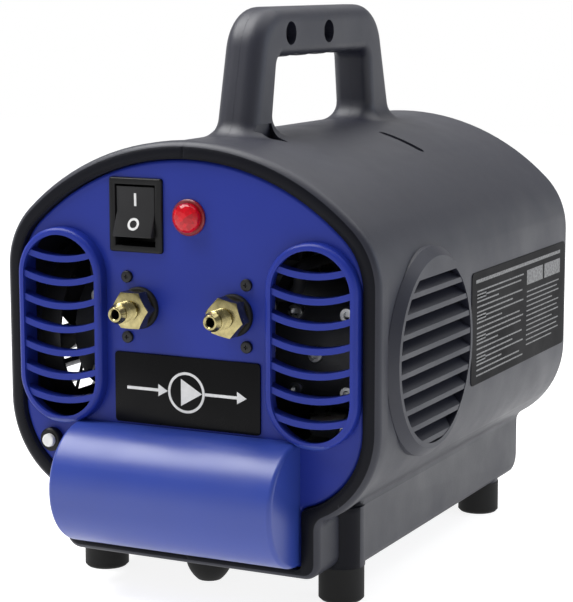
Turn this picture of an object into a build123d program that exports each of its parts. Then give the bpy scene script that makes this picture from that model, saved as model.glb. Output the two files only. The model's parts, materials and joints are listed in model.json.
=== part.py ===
from build123d import *
import math
import os

# Portable refrigerant recovery machine: a moulded clamshell housing on a pedestal,
# a coloured front panel with two brass flare ports, and inside it a twin-cylinder
# compressor whose one shaft carries a fan at each end. Millimetres, +Z up, the
# front faces -Y, and the origin is on the floor under the middle of the machine.

os.makedirs("parts", exist_ok=True)

# ---------------------------------------------------------------- driving sizes
# barrel
half_width = 110.0
crown_height = 243.5
crown_radius = 139.0
shoulder_radius = 44.0
haunch_radius = 54.0
haunch_height = 101.0
body_depth = 294.0
wall = 3.0
rear_edge_radius = 4.0

# raised rim round the front opening
bead_raise = 1.0
bead_depth = 12.0
bead_radius = 4.5
rim_width = 8.0
rim_depth = 8.0

# pedestal, chin and corner posts
pedestal_half_width = 85.0
pedestal_floor = 19.0
pedestal_setback = 36.0
pedestal_depth = 243.0
pedestal_edge_radius = 4.0
pedestal_heel_radius = 11.0
chin_half_width = 77.0
chin_corner_radius = 9.0
neck_half_width = 67.5
neck_lip = 5.5
post_radius = 12.7
rear_post_radius = 11.9
post_height = 33.0
foot_half_track = 73.0
front_foot_setback = 38.0
foot_base = 203.0
crease_radius = 7.0

# handle
handle_half_width = 12.5
handle_top = 312.0
handle_corner_radius = 28.0
handle_edge_radius = 9.5
handle_flare_radius = 11.0
grip_bottom = 284.5
leg_front_foot = 52.5
leg_front_lean = 0.245
leg_rear_foot = 244.0
leg_rear_lean = 0.298
hole_front_foot = 80.0
hole_front_lean = 0.176
hole_rear_foot = 210.8
hole_rear_lean = 0.125
hole_corner_radius = 6.0
grip_edge_radius = 6.0
finger_count = 4
finger_pitch = 24.0
finger_radius = 20.0
finger_depth = 1.5
pocket_radius = 6.5
pocket_depth = 6.0
pocket_height = 297.5
pocket_setbacks = (101.0, 150.0)

# strap and vent slits in the crown
slit_inner = 35.0
slit_length = 28.0
slit_width = 5.5
slit_setback = 171.0
notch_inner = 12.0
notch_outer = 29.2
notch_depth = 8.0
notch_rise = 6.0
notch_front_setback = 56.0
notch_rear_setback = 76.0
notch_tip_setback = 64.0

# front panel
panel_setback = 2.0
panel_gap = 0.5
skin = 2.5
panel_edge_radius = 2.2
flange_reach = 2.0
flange_thickness = 2.5

# half drum moulded across the foot of the panel
drum_radius = 33.0
drum_half_length = 66.0
drum_end_radius = 2.5
drum_height = 59.0
drum_setback = 0.0

# louvred grilles of the front panel
grille_centre = 74.7
grille_height = 143.0
grille_half_width = 22.3
grille_half_height = 49.5
grille_rim = 3.8
grille_raise = 7.0
grille_rim_radius = 2.6
grille_lip = 2.5
grille_side = 2.0
rib_count = 7
rib_pitch = 12.8
rib_thickness = 3.3
rib_depth = 7.0
rib_sag = 4.2
rib_setback = 1.0
rib_bite = 0.4

# round louvred fan covers on both sides
shaft_setback = 67.4
shaft_height = 132.5
cover_radius = 56.0
cover_raise = 5.0
cover_hole_radius = 48.5
louvre_count = 9
cover_root = 12.0
brow_rise = 41.3
louvre_pitch = 10.0
louvre_drop = 3.3
louvre_thickness = 2.8
louvre_rake = 5.2
louvre_recess = 0.25
collar_thickness = 2.0
collar_depth = 5.0

# rocker switch
switch_x = -29.5
switch_height = 204.7
bezel_width = 32.0
bezel_height = 39.5
bezel_thickness = 2.0
switch_body_width = 28.0
switch_body_height = 36.4
switch_body_depth = 26.0
switch_window_width = 24.2
switch_window_height = 32.4
switch_cavity_depth = 17.0
rocker_width = 23.4
rocker_height = 27.0
rocker_stand = 4.0
rocker_dish = 2.6
rocker_tilt = 10.0
rocker_pivot_depth = 8.0
rocker_pin_radius = 1.5
running_gap = 0.06
cut_gap = 0.2

# pilot lamp
lamp_x = 2.0
lamp_height = 205.0
lens_radius = 9.0
lens_stand = 7.5
lens_rim = 2.5
lamp_flange_radius = 9.6
lamp_flange_thickness = 1.6
lamp_tube_radius = 6.4
lamp_tube_length = 24.0
lamp_nut_across = 17.0
lamp_nut_thickness = 4.0

# push-to-reset breaker
breaker_x = -84.0
breaker_height = 79.0
breaker_collar_radius = 6.4
breaker_collar_length = 4.0
breaker_body_radius = 5.2
breaker_body_length = 24.0
breaker_block = 16.0
breaker_neck_length = 9.5
button_radius = 3.6
button_stand = 2.2
button_length = 14.0
button_travel = 2.0
button_gap = 0.08
breaker_nut_across = 12.0
breaker_nut_thickness = 3.0

# service ports and their manifold
port_x = 28.0
port_height = 155.5
washer_radius = 11.2
washer_thickness = 3.0
port_hex_across = 19.0
port_hex_length = 9.0
flare_thread_radius = 5.55
flare_thread_length = 12.0
flare_nose_radius = 3.6
flare_nose_length = 2.6
port_bore_radius = 2.4
port_shank_radius = 6.0
port_shank_length = 12.0
manifold_width = 88.0
manifold_height = 44.0
manifold_depth = 14.0
manifold_screw_x = 35.6
manifold_screw_z = 16.2
pan_head_radius = 3.2
pan_head_stand = 1.8
screw_shank_radius = 1.9
screw_shank_length = 12.0

# plates
nameplate_width = 87.0
nameplate_height = 38.0
nameplate_thickness = 1.2
nameplate_bottom = 93.2
side_label_setback = 129.0
side_label_length = 159.0
side_label_height = 64.0
side_label_bottom = 101.5
side_label_thickness = 0.4

# feet
foot_radius = 12.3
foot_edge = 1.3
foot_socket_radius = 5.6
foot_socket_depth = 8.0
foot_screw_head = 4.5
foot_screw_head_height = 3.0
foot_screw_length = 24.0
bumper_setback = 25.0
bumper_top_radius = 13.0
bumper_belly_radius = 11.2
bumper_belly_drop = 8.0
bumper_tip_radius = 6.5
bumper_length = 14.0

# rear panel and power inlet
rear_recess_inset = 6.0
rear_opening_inset = 15.0
rear_panel_thickness = 2.5
rear_panel_gap = 0.4
rear_slot_count = 9
rear_slot_pitch = 10.0
rear_slot_length = 110.0
rear_slot_height = 4.6
rear_slot_centre = 160.0
sheet_screw_head = 3.4
sheet_screw_stand = 1.6
inlet_x = -58.0
inlet_height = 84.0
inlet_flange_length = 50.0
inlet_flange_height = 28.0
inlet_flange_thickness = 2.5
inlet_body_length = 27.4
inlet_body_height = 20.0
inlet_body_depth = 24.0
inlet_cavity_length = 24.4
inlet_cavity_height = 16.6
inlet_cavity_depth = 19.0
inlet_pin_recess = 6.5
inlet_screw_span = 40.0

# drive line
shaft_radius = 5.0
shaft_half_length = 106.0
motor_radius = 43.0
motor_shell_thickness = 2.0
motor_half_length = 34.0
stator_bore = 24.0
stator_half_length = 20.0
winding_length = 9.0
air_gap = 0.6
crankcase_length = 54.0
crankcase_radius = 35.0
bearing_radius = 13.0
bearing_length = 9.0
cylinder_seat = 37.0
cylinder_radius = 20.0
cylinder_length = 40.0
cylinder_fin_radius = 26.0
cylinder_fin_count = 5
cylinder_fin_thickness = 2.4
cylinder_fin_pitch = 7.0
cylinder_flange = 6.0
head_size = 54.0
head_thickness = 14.0
head_bolt_span = 42.0
head_bolt_radius = 4.0
head_bolt_head = 3.0
head_bolt_shank = 2.2
fan_hub_radius = 13.0
fan_radius = 42.5
fan_length = 12.0
fan_centre = 99.0
fan_blade_count = 7
fan_blade_chord = 21.0
fan_blade_thickness = 1.8
fan_blade_pitch = 32.0
shroud_gap = 1.6
shroud_thickness = 2.0
shroud_length = 16.0

# chassis, cradle and condenser
chassis_half_width = 56.0
chassis_setback = 20.0
chassis_length = 240.0
sheet = 3.0
chassis_screw_x = 48.0
chassis_screw_y = 108.0
chassis_screw_bite = 2.0
isolator_radius = 8.0
isolator_height = 10.0
cradle_half_length = 38.0
cradle_web_span = 50.0
cradle_half_depth = 30.0
cradle_top = 72.0
isolator_x = 30.0
isolator_y = 22.0
condenser_setback = 222.0
condenser_half_length = 82.0
condenser_depth = 32.0
condenser_bottom = 62.0
condenser_height = 136.0
condenser_core_depth = 12.0
fin_count = 21
bracket_inner = 24.0
bracket_width = 12.0
fin_thickness = 2.0
tube_radius = 4.0
tube_pitch = 26.0
tube_rows = 5
line_radius = 3.2
line_bend = 7.5
line_setback = 11.5
line_height = 182.0
line_corner_x = 94.0
line_corner_setback = 192.5
port_line_height = 166.0
discharge_height = 115.0
capacitor_radius = 18.0
capacitor_length = 64.0
capacitor_setback = 190.0
clamp_thickness = 1.5
clamp_foot = 30.0
clamp_width = 14.0
pressure_switch_radius = 6.5
pressure_switch_length = 22.0

# ------------------------------------------------------------- derived places
nose = drum_radius - drum_setback
front = -(body_depth - nose) / 2
rear = front + body_depth
panel_face = front + panel_setback
panel_back = panel_face + skin
grille_face = panel_face - grille_raise
grille_reach = grille_rim - grille_side
flange_face = front + rim_depth
neck_floor = pedestal_floor + neck_lip
shaft_y = front + shaft_setback
side_face = half_width + cover_raise
front_foot_y = front + front_foot_setback
foot_centres = [
    (side * foot_half_track, front_foot_y + row * foot_base) for side in (-1, 1) for row in (0, 1)
]
corner_inset = (rear_recess_inset + rear_opening_inset) / 2
haunch_pull = (haunch_radius - corner_inset) * math.sqrt(0.5)
shoulder_pull = (shoulder_radius - corner_inset) * math.sqrt(0.5)
crown_centre = crown_height - crown_radius
shoulder_height = crown_centre + math.sqrt(
    (crown_radius - shoulder_radius) ** 2 - (half_width - shoulder_radius) ** 2
)
rear_screw_centres = [
    (side * (half_width - haunch_radius + haunch_pull), haunch_height - haunch_pull) for side in (-1, 1)
] + [
    (side * (half_width - shoulder_radius + shoulder_pull), shoulder_height + shoulder_pull)
    for side in (-1, 1)
]
chassis_middle = front + chassis_setback + chassis_length / 2
chassis_screw_centres = [
    (side * chassis_screw_x, chassis_middle + row * chassis_screw_y) for side in (-1, 1) for row in (-1, 1)
]
rear_ledge = rear - rear_panel_thickness
chassis_top = pedestal_floor + wall + sheet


def across(y):
    """Plane square to the depth at y, facing the front, with local axes X and Z."""
    return Plane((0, y, 0), x_dir=(1, 0, 0), z_dir=(0, -1, 0))


def along(x):
    """Plane square to the width at x, facing +X, with local axes Y and Z."""
    return Plane.YZ.offset(x)


def save(part, name):
    """Label a finished piece and write it under its node's name."""
    part.label = name
    export_step(part, f"parts/{name}.step")


# ------------------------------------------------------------------- outlines
def barrel_section(inset):
    """Section of the barrel, every side moved inwards by inset."""
    crown_centre = crown_height - crown_radius
    shoulder_x = half_width - shoulder_radius
    reach = crown_radius - shoulder_radius
    shoulder_z = crown_centre + math.sqrt(reach**2 - shoulder_x**2)
    lean = math.degrees(math.atan2(shoulder_z - crown_centre, shoulder_x))
    haunch_x = half_width - haunch_radius
    side = half_width - inset
    floor = haunch_height - haunch_radius + inset
    with BuildSketch() as section:
        with BuildLine():
            CenterArc((0, crown_centre), crown_radius - inset, lean, 180 - 2 * lean)
            CenterArc((shoulder_x, shoulder_z), shoulder_radius - inset, 0, lean)
            CenterArc((-shoulder_x, shoulder_z), shoulder_radius - inset, 180 - lean, lean)
            Line((side, shoulder_z), (side, haunch_height))
            Line((-side, shoulder_z), (-side, haunch_height))
            CenterArc((haunch_x, haunch_height), haunch_radius - inset, -90, 90)
            CenterArc((-haunch_x, haunch_height), haunch_radius - inset, 180, 90)
            Line((-haunch_x, floor), (haunch_x, floor))
        make_face()
    return section.sketch


def necked_section(inset, half_neck, floor, corner, crook):
    """Barrel section with a neck that runs straight down to floor."""
    neck_top = haunch_height - haunch_radius / 2
    with BuildSketch() as section:
        add(barrel_section(inset))
        with Locations((0, (floor + neck_top) / 2)):
            Rectangle(2 * half_neck, neck_top - floor)
        sides = section.vertices().filter_by(lambda v: abs(abs(v.X) - half_neck) < 0.01)
        fillet(sides.filter_by(lambda v: v.Y > floor + 1), crook)
        lows = section.vertices().filter_by(lambda v: abs(v.Y - floor) < 0.01)
        fillet(lows, corner)
    return section.sketch


def front_opening(inset):
    """Outline of the front opening, moved inwards by inset."""
    return necked_section(rim_width + inset, neck_half_width - inset, neck_floor + inset, 3.0, 3.0)


def stadium(x, reach):
    """Upright slot outline of a front grille, moved outwards from its opening by reach."""
    with BuildSketch() as outline:
        with Locations((x, grille_height)):
            SlotOverall(2 * (grille_half_height + reach), 2 * (grille_half_width + reach), rotation=90)
    return outline.sketch


def rib_section(x, z):
    """One sagging rib across a front grille, ends cut by the grille's outline."""
    bow = (grille_half_width**2 + rib_sag**2) / (2 * rib_sag)
    with BuildSketch() as rib:
        with Locations((x, z - rib_sag / 2 + bow)):
            Circle(bow + rib_thickness / 2)
            Circle(bow - rib_thickness / 2, mode=Mode.SUBTRACT)
        add(stadium(x, grille_reach + rib_bite), mode=Mode.INTERSECT)
    return rib.sketch


def hexagon(across_flats):
    """Hexagon by its size across the flats."""
    with BuildSketch() as outline:
        RegularPolygon(across_flats / math.sqrt(3), 6)
    return outline.sketch


# --------------------------------------------------------------------- handle
def handle_y(foot, lean, z):
    """Depth of a leaning handle edge at height z."""
    return front + foot + lean * (z - crown_height)


leg_root = crown_height - 10
with BuildPart() as handle:
    with BuildSketch(along(-handle_half_width)):
        with BuildLine():
            Polyline(
                (handle_y(leg_front_foot, leg_front_lean, leg_root), leg_root),
                (handle_y(leg_front_foot, leg_front_lean, handle_top), handle_top),
                (handle_y(leg_rear_foot, -leg_rear_lean, handle_top), handle_top),
                (handle_y(leg_rear_foot, -leg_rear_lean, leg_root), leg_root),
                close=True,
            )
        face = make_face()
        fillet(face.vertices().group_by(Axis.Y)[-1], handle_corner_radius)
    extrude(amount=2 * handle_half_width)
    fillet(handle.faces().filter_by(Axis.X).edges(), handle_edge_radius)
    with BuildSketch(along(-handle_half_width - 1)) as hole:
        with BuildLine():
            Polyline(
                (handle_y(hole_front_foot, hole_front_lean, leg_root), leg_root - 1),
                (handle_y(hole_front_foot, hole_front_lean, grip_bottom), grip_bottom),
                (handle_y(hole_rear_foot, -hole_rear_lean, grip_bottom), grip_bottom),
                (handle_y(hole_rear_foot, -hole_rear_lean, leg_root), leg_root - 1),
                close=True,
            )
        opening = make_face()
        fillet(opening.vertices().group_by(Axis.Y)[-1], hole_corner_radius)
    extrude(amount=2 * handle_half_width + 2, mode=Mode.SUBTRACT)
    inner = handle.edges().filter_by(lambda e: abs(abs(e.center().X) - handle_half_width) < 0.01)
    hole_front = front + hole_front_foot - 2
    hole_rear = front + hole_rear_foot + 2
    rims = inner.filter_by(lambda e: hole_front < e.center().Y < hole_rear)
    fillet(rims.filter_by(lambda e: e.center().Z < grip_bottom + 1), grip_edge_radius)
    # finger grooves under the grip
    grip_middle = front + (hole_front_foot + hole_rear_foot) / 2 + 2
    with BuildSketch(along(-handle_half_width - 1)):
        with Locations((grip_middle, grip_bottom - finger_radius + finger_depth)):
            with GridLocations(finger_pitch, 1, finger_count, 1):
                Circle(finger_radius)
    extrude(amount=2 * handle_half_width + 2, mode=Mode.SUBTRACT)

# -------------------------------------------------------------------- housing
def pedestal_block(inset):
    """Pedestal moved inwards by inset, its heel rounded up at the rear."""
    floor = pedestal_floor + inset
    roof = haunch_height - haunch_radius / 2 + inset
    with BuildPart() as block:
        with BuildSketch(along(inset - pedestal_half_width)) as side_view:
            with Locations((front + pedestal_setback + pedestal_depth / 2, (floor + roof) / 2)):
                Rectangle(pedestal_depth - 2 * inset, roof - floor)
            heel = side_view.vertices().group_by(Axis.Y)[0].sort_by(Axis.X)[-1]
            fillet(heel, pedestal_heel_radius - inset)
        extrude(amount=2 * (pedestal_half_width - inset))
    return block.part


def post_section():
    """The four corner posts in plan, the front pair a little stouter."""
    with BuildSketch(Plane.XY.offset(pedestal_floor)) as posts:
        with Locations(*foot_centres[::2]):
            Circle(post_radius)
        with Locations(*foot_centres[1::2]):
            Circle(rear_post_radius)
    return posts.sketch


with BuildPart() as pedestal:
    add(pedestal_block(0))
    fillet(pedestal.faces().filter_by(Axis.X).edges(), pedestal_edge_radius)

with BuildPart() as rim:
    with BuildSketch(across(front)):
        add(necked_section(-bead_raise, chin_half_width, pedestal_floor, chin_corner_radius, 6.0))
    extrude(amount=-bead_depth)
    fillet(rim.faces().sort_by(Axis.Y)[0].edges(), bead_radius)
    chamfer(rim.faces().sort_by(Axis.Y)[-1].edges(), bead_raise * 0.9)


def louvres(side):
    """Raked louvres of one fan cover, trimmed to its round hole."""
    inner_face = side * (half_width - wall)
    outer_face = side * (side_face - louvre_recess)
    with BuildPart() as rows:
        for row in range(louvre_count):
            height = shaft_height + (row - (louvre_count - 1) / 2) * louvre_pitch - louvre_drop
            with BuildSketch(across(shaft_y)):
                with BuildLine():
                    Polyline(
                        (outer_face, height - louvre_rake / 2 - louvre_thickness / 2),
                        (outer_face, height - louvre_rake / 2 + louvre_thickness / 2),
                        (inner_face, height + louvre_rake / 2 + louvre_thickness / 2),
                        (inner_face, height + louvre_rake / 2 - louvre_thickness / 2),
                        close=True,
                    )
                make_face()
            extrude(amount=cover_radius, both=True)
        with BuildSketch(along(inner_face)):
            with Locations((shaft_y, shaft_height)):
                Circle(cover_hole_radius + 1)
        extrude(amount=side * (wall + cover_raise), mode=Mode.INTERSECT)
    return rows.part


with BuildPart() as fan_covers:
    with BuildSketch(along(half_width - cover_root)):
        with Locations((shaft_y, shaft_height)):
            Circle(cover_radius)
    extrude(amount=cover_root + cover_raise)
    chamfer(fan_covers.faces().sort_by(Axis.X)[-1].edges(), cover_raise - 0.2)
    mirror(about=Plane.YZ)

with BuildPart() as shell:
    with BuildSketch(across(front + bead_radius)):
        add(barrel_section(0))
    extrude(amount=-(body_depth - bead_radius))
    fillet(shell.faces().sort_by(Axis.Y)[-1].edges(), rear_edge_radius)
    add(pedestal.part)
    # concave crease between the barrel and the pedestal
    creases = shell.edges().filter_by(
        lambda e: abs(e.center().X) > pedestal_half_width - pedestal_edge_radius
        and haunch_height - haunch_radius < e.center().Z < haunch_height - haunch_radius + 12
        and front + bead_depth < e.center().Y < rear - rear_edge_radius - 1
    )
    fillet(creases, crease_radius)
    add(rim.part)
    with BuildSketch(across(front + bead_depth / 2)):
        with Locations((0, pedestal_floor + chin_corner_radius * 2)):
            RectangleRounded(2 * chin_half_width, chin_corner_radius * 4, chin_corner_radius)
    extrude(amount=-(front_foot_setback - bead_depth / 2))
    extrude(post_section(), amount=post_height)
    add(fan_covers.part)
    # handle, with flares round both legs
    add(handle.part)
    roots = shell.edges().filter_by(
        lambda e: abs(e.center().X) < handle_half_width + 1
        and crown_height - 3 < e.center().Z < crown_height + 1
        and front + leg_front_foot - 8 < e.center().Y < front + leg_rear_foot + 8
        and e.bounding_box().size.Z < 3
    )
    fillet(roots, handle_flare_radius)

    # hollow inside: barrel, pedestal and chin
    with BuildSketch(across(front + rim_depth)):
        add(barrel_section(wall))
    extrude(amount=-(body_depth - rim_depth - rear_panel_thickness - wall), mode=Mode.SUBTRACT)
    add(pedestal_block(wall), mode=Mode.SUBTRACT)
    with BuildSketch(across(front + rim_depth)):
        with Locations((0, pedestal_floor + chin_corner_radius * 2)):
            RectangleRounded(
                2 * (chin_half_width - wall), chin_corner_radius * 4 - 2 * wall, chin_corner_radius - wall
            )
    extrude(amount=-(pedestal_setback + wall + 1 - rim_depth), mode=Mode.SUBTRACT)
    extrude(post_section(), amount=post_height)
    # front and rear openings
    with BuildSketch(across(front - 1)):
        add(front_opening(0))
    extrude(amount=-(rim_depth + 1), mode=Mode.SUBTRACT)
    with BuildSketch(across(rear_ledge)):
        add(barrel_section(rear_recess_inset))
    extrude(amount=-(rear_panel_thickness + 1), mode=Mode.SUBTRACT)
    with BuildSketch(across(rear_ledge - wall - 1)):
        add(barrel_section(rear_opening_inset))
    extrude(amount=-(wall + 2), mode=Mode.SUBTRACT)
    with BuildSketch(across(rear_ledge - wall - 1)):
        with Locations(*rear_screw_centres):
            Circle(screw_shank_radius + cut_gap)
    extrude(amount=-(wall + 2), mode=Mode.SUBTRACT)
    # fan covers: round hole under a brow, collar for the shroud, raked louvres
    for side in (-1, 1):
        with BuildSketch(along(side * (half_width - wall - collar_depth - 1))):
            with Locations((shaft_y, shaft_height)):
                Circle(cover_hole_radius)
        extrude(amount=side * (collar_depth + 1), mode=Mode.SUBTRACT)
        with BuildSketch(along(side * (half_width - wall))):
            with Locations((shaft_y, shaft_height)):
                Circle(cover_hole_radius)
            with Locations((shaft_y, shaft_height + brow_rise + cover_hole_radius / 2)):
                Rectangle(2 * cover_hole_radius, cover_hole_radius, mode=Mode.SUBTRACT)
        extrude(amount=side * (wall + cover_raise + 1), mode=Mode.SUBTRACT)
        with BuildSketch(along(side * (half_width - wall - collar_depth))):
            with Locations((shaft_y, shaft_height)):
                Circle(cover_hole_radius + collar_thickness)
                Circle(cover_hole_radius, mode=Mode.SUBTRACT)
        extrude(amount=side * (collar_depth + wall))
        add(louvres(side))
    # slits in the crown and notches at the foot of the handle
    for side in (-1, 1):
        with BuildSketch(Plane.XY.offset(crown_height - 30)):
            with Locations((side * (slit_inner + slit_length / 2), front + slit_setback)):
                SlotOverall(slit_length, slit_width)
        extrude(amount=40, mode=Mode.SUBTRACT)
        with BuildSketch(Plane.XY.offset(crown_height - notch_depth)):
            with BuildLine():
                Polyline(
                    (side * notch_inner, front + notch_front_setback),
                    (side * notch_inner, front + notch_rear_setback),
                    (side * notch_outer, front + notch_tip_setback),
                    (side * (notch_inner + 3), front + notch_front_setback + 4),
                    close=True,
                )
            make_face()
        extrude(amount=notch_depth + notch_rise, mode=Mode.SUBTRACT)
    # screw pockets in the grip
    for setback in pocket_setbacks:
        with BuildSketch(along(handle_half_width + 1)):
            with Locations((front + setback, pocket_height)):
                Circle(pocket_radius)
        extrude(amount=-(pocket_depth + 1), mode=Mode.SUBTRACT)
        with BuildSketch(along(handle_half_width + 1)):
            with Locations((front + setback, pocket_height)):
                Circle(screw_shank_radius + cut_gap)
        extrude(amount=-(pocket_depth + 1 + screw_shank_length + 1), mode=Mode.SUBTRACT)
    # foot screw holes in the corner posts
    with BuildSketch(Plane.XY.offset(pedestal_floor - 1)):
        with Locations(*foot_centres):
            Circle(screw_shank_radius + cut_gap)
    extrude(amount=foot_screw_length, mode=Mode.SUBTRACT)
    # pilot holes for the chassis screws, blind in the floor
    with BuildSketch(Plane.XY.offset(pedestal_floor + wall - chassis_screw_bite)):
        with Locations(*chassis_screw_centres):
            Circle(screw_shank_radius + cut_gap)
    extrude(amount=chassis_screw_bite + 1, mode=Mode.SUBTRACT)

with BuildPart() as housing_right:
    add(shell.part)
    split(bisect_by=Plane.YZ, keep=Keep.TOP)
save(housing_right.part, "housing_right")

with BuildPart() as housing_left:
    add(shell.part)
    split(bisect_by=Plane.YZ, keep=Keep.BOTTOM)
save(housing_left.part, "housing_left")


# ---------------------------------------------------------------- front panel
def drum(shrink):
    """Drum across the foot of the panel, its skin moved inwards by shrink."""
    with BuildPart() as body:
        with BuildSketch(along(-(drum_half_length - shrink))):
            with Locations((front + drum_setback, drum_height)):
                Circle(drum_radius - shrink)
        extrude(amount=2 * (drum_half_length - shrink))
        fillet(body.edges().filter_by(GeomType.CIRCLE), drum_end_radius - shrink / 2)
    return body.part


with BuildPart() as front_panel:
    with BuildSketch(across(panel_face)):
        add(front_opening(panel_gap))
    extrude(amount=-(flange_face + flange_thickness - panel_face))
    fillet(front_panel.faces().sort_by(Axis.Y)[0].edges(), panel_edge_radius)
    with BuildSketch(across(flange_face)):
        add(front_opening(-flange_reach))
    extrude(amount=-flange_thickness)
    # drum and grille frames stand out of the face
    with BuildPart(mode=Mode.PRIVATE) as drum_front:
        add(drum(0))
        split(bisect_by=across(panel_back), keep=Keep.TOP)
    add(drum_front.part)
    for side in (-1, 1):
        with BuildPart(mode=Mode.PRIVATE) as grille_frame:
            with BuildSketch(across(panel_back)):
                add(stadium(side * grille_centre, grille_rim))
            extrude(amount=skin + grille_raise)
            fillet(grille_frame.faces().sort_by(Axis.Y)[0].edges(), grille_rim_radius)
        add(grille_frame.part)
    # hollow back
    with BuildSketch(across(panel_back)):
        add(front_opening(panel_gap + skin))
    extrude(amount=-(flange_face + flange_thickness - panel_back), mode=Mode.SUBTRACT)
    add(drum(skin), mode=Mode.SUBTRACT)
    for side in (-1, 1):
        with BuildSketch(across(grille_face - 1)):
            add(stadium(side * grille_centre, 0))
        extrude(amount=-(grille_raise + 2 * skin), mode=Mode.SUBTRACT)
        with BuildSketch(across(grille_face + grille_lip)):
            add(stadium(side * grille_centre, grille_reach))
        extrude(amount=-(grille_raise + skin), mode=Mode.SUBTRACT)
        with BuildSketch(across(grille_face + rib_setback)):
            for row in range(rib_count):
                rise = (row - (rib_count - 1) / 2) * rib_pitch
                add(rib_section(side * grille_centre, grille_height + rise))
        extrude(amount=-rib_depth)
    # cut-outs for what the panel carries
    with BuildSketch(across(panel_face - 1)):
        with Locations((switch_x, switch_height)):
            Rectangle(switch_body_width + 2 * cut_gap, switch_body_height + 2 * cut_gap)
        with Locations((lamp_x, lamp_height)):
            Circle(lamp_tube_radius + cut_gap)
        with Locations((breaker_x, breaker_height)):
            Circle(breaker_body_radius + cut_gap)
        with Locations((-port_x, port_height), (port_x, port_height)):
            Circle(port_shank_radius + cut_gap)
        with Locations((0, port_height)):
            with GridLocations(2 * manifold_screw_x, 2 * manifold_screw_z, 2, 2):
                Circle(screw_shank_radius + cut_gap)
    extrude(amount=-(skin + 2), mode=Mode.SUBTRACT)
save(front_panel.part, "front_panel")

with BuildPart() as nameplate:
    with BuildSketch(across(panel_face)):
        with Locations((0, nameplate_bottom + nameplate_height / 2)):
            RectangleRounded(nameplate_width, nameplate_height, 2.0)
    extrude(amount=nameplate_thickness)
save(nameplate.part, "nameplate")

with BuildPart() as side_label:
    with BuildSketch(along(half_width)):
        middle = front + side_label_setback + side_label_length / 2
        with Locations((middle, side_label_bottom + side_label_height / 2)):
            RectangleRounded(side_label_length, side_label_height, 3.0)
    extrude(amount=side_label_thickness)
save(side_label.part, "side_label")

# -------------------------------------------------------------- rocker switch
pivot_y = panel_face + rocker_pivot_depth
with BuildPart() as switch_body:
    with BuildSketch(across(panel_face)):
        with Locations((switch_x, switch_height)):
            RectangleRounded(bezel_width, bezel_height, 1.5)
    extrude(amount=bezel_thickness)
    chamfer(switch_body.faces().sort_by(Axis.Y)[0].edges(), 0.7)
    with BuildSketch(across(panel_face)):
        with Locations((switch_x, switch_height)):
            Rectangle(switch_body_width, switch_body_height)
    extrude(amount=-switch_body_depth)
    with BuildSketch(across(panel_face - bezel_thickness)):
        with Locations((switch_x, switch_height)):
            Rectangle(switch_window_width, switch_window_height)
    extrude(amount=-(bezel_thickness + switch_cavity_depth), mode=Mode.SUBTRACT)
    with BuildSketch(along(switch_x - switch_body_width / 2)):
        with Locations((pivot_y, switch_height)):
            Circle(rocker_pin_radius + running_gap)
    extrude(amount=switch_body_width, mode=Mode.SUBTRACT)
save(switch_body.part, "switch_body")

with BuildPart() as switch_rocker:
    half_rocker = rocker_height / 2
    with BuildSketch(along(switch_x - rocker_width / 2)):
        with BuildLine():
            Polyline(
                (panel_face - rocker_stand, switch_height + half_rocker),
                (panel_face - rocker_stand + rocker_dish, switch_height),
                (panel_face - rocker_stand, switch_height - half_rocker),
                (pivot_y - 1, switch_height - half_rocker + 1.5),
                (pivot_y + 6, switch_height - 4),
                (pivot_y + 6, switch_height + 4),
                (pivot_y - 1, switch_height + half_rocker - 1.5),
                close=True,
            )
        make_face()
    extrude(amount=rocker_width)
    with BuildSketch(along(switch_x - switch_body_width / 2 + cut_gap)):
        with Locations((pivot_y, switch_height)):
            Circle(rocker_pin_radius)
    extrude(amount=switch_body_width - 2 * cut_gap)
pivot = Axis((switch_x, pivot_y, switch_height), (1, 0, 0))
save(switch_rocker.part.rotate(pivot, -rocker_tilt), "switch_rocker")

with BuildPart() as switch_terminals:
    with BuildSketch(across(panel_face + switch_body_depth)):
        with Locations((switch_x, switch_height)):
            with GridLocations(14.0, 20.0, 2, 2):
                Rectangle(0.8, 6.3)
    extrude(amount=-9.0)
save(switch_terminals.part, "switch_terminals")

# ----------------------------------------------------------------- pilot lamp
with BuildPart() as lamp_body:
    with BuildSketch(across(panel_face)):
        with Locations((lamp_x, lamp_height)):
            Circle(lamp_flange_radius)
    extrude(amount=lamp_flange_thickness)
    chamfer(lamp_body.faces().sort_by(Axis.Y)[0].edges(), 0.5)
    with BuildSketch(across(panel_face)):
        with Locations((lamp_x, lamp_height)):
            Circle(lamp_tube_radius)
    extrude(amount=-lamp_tube_length)
save(lamp_body.part, "lamp_body")

with BuildPart() as lamp_lens:
    lens_base = panel_face - lamp_flange_thickness
    rise = lens_stand - lens_rim
    dome = (lens_radius**2 + rise**2) / (2 * rise)
    turn = math.asin(lens_radius / dome) / 2
    halfway = (dome * math.sin(turn), dome - lens_stand - dome * math.cos(turn))
    with BuildSketch(Plane((lamp_x, lens_base, lamp_height), x_dir=(1, 0, 0), z_dir=(0, 0, 1))):
        with BuildLine():
            Polyline((0, -lens_stand), (0, 0), (lens_radius, 0), (lens_radius, -lens_rim))
            ThreePointArc((lens_radius, -lens_rim), halfway, (0, -lens_stand))
        make_face()
    revolve(axis=Axis((lamp_x, lens_base, lamp_height), (0, 1, 0)))
save(lamp_lens.part, "lamp_lens")

with BuildPart() as lamp_nut:
    with BuildSketch(across(panel_back)):
        with Locations((lamp_x, lamp_height)):
            add(hexagon(lamp_nut_across))
            Circle(lamp_tube_radius + running_gap, mode=Mode.SUBTRACT)
    extrude(amount=-lamp_nut_thickness)
save(lamp_nut.part, "lamp_nut")

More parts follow.
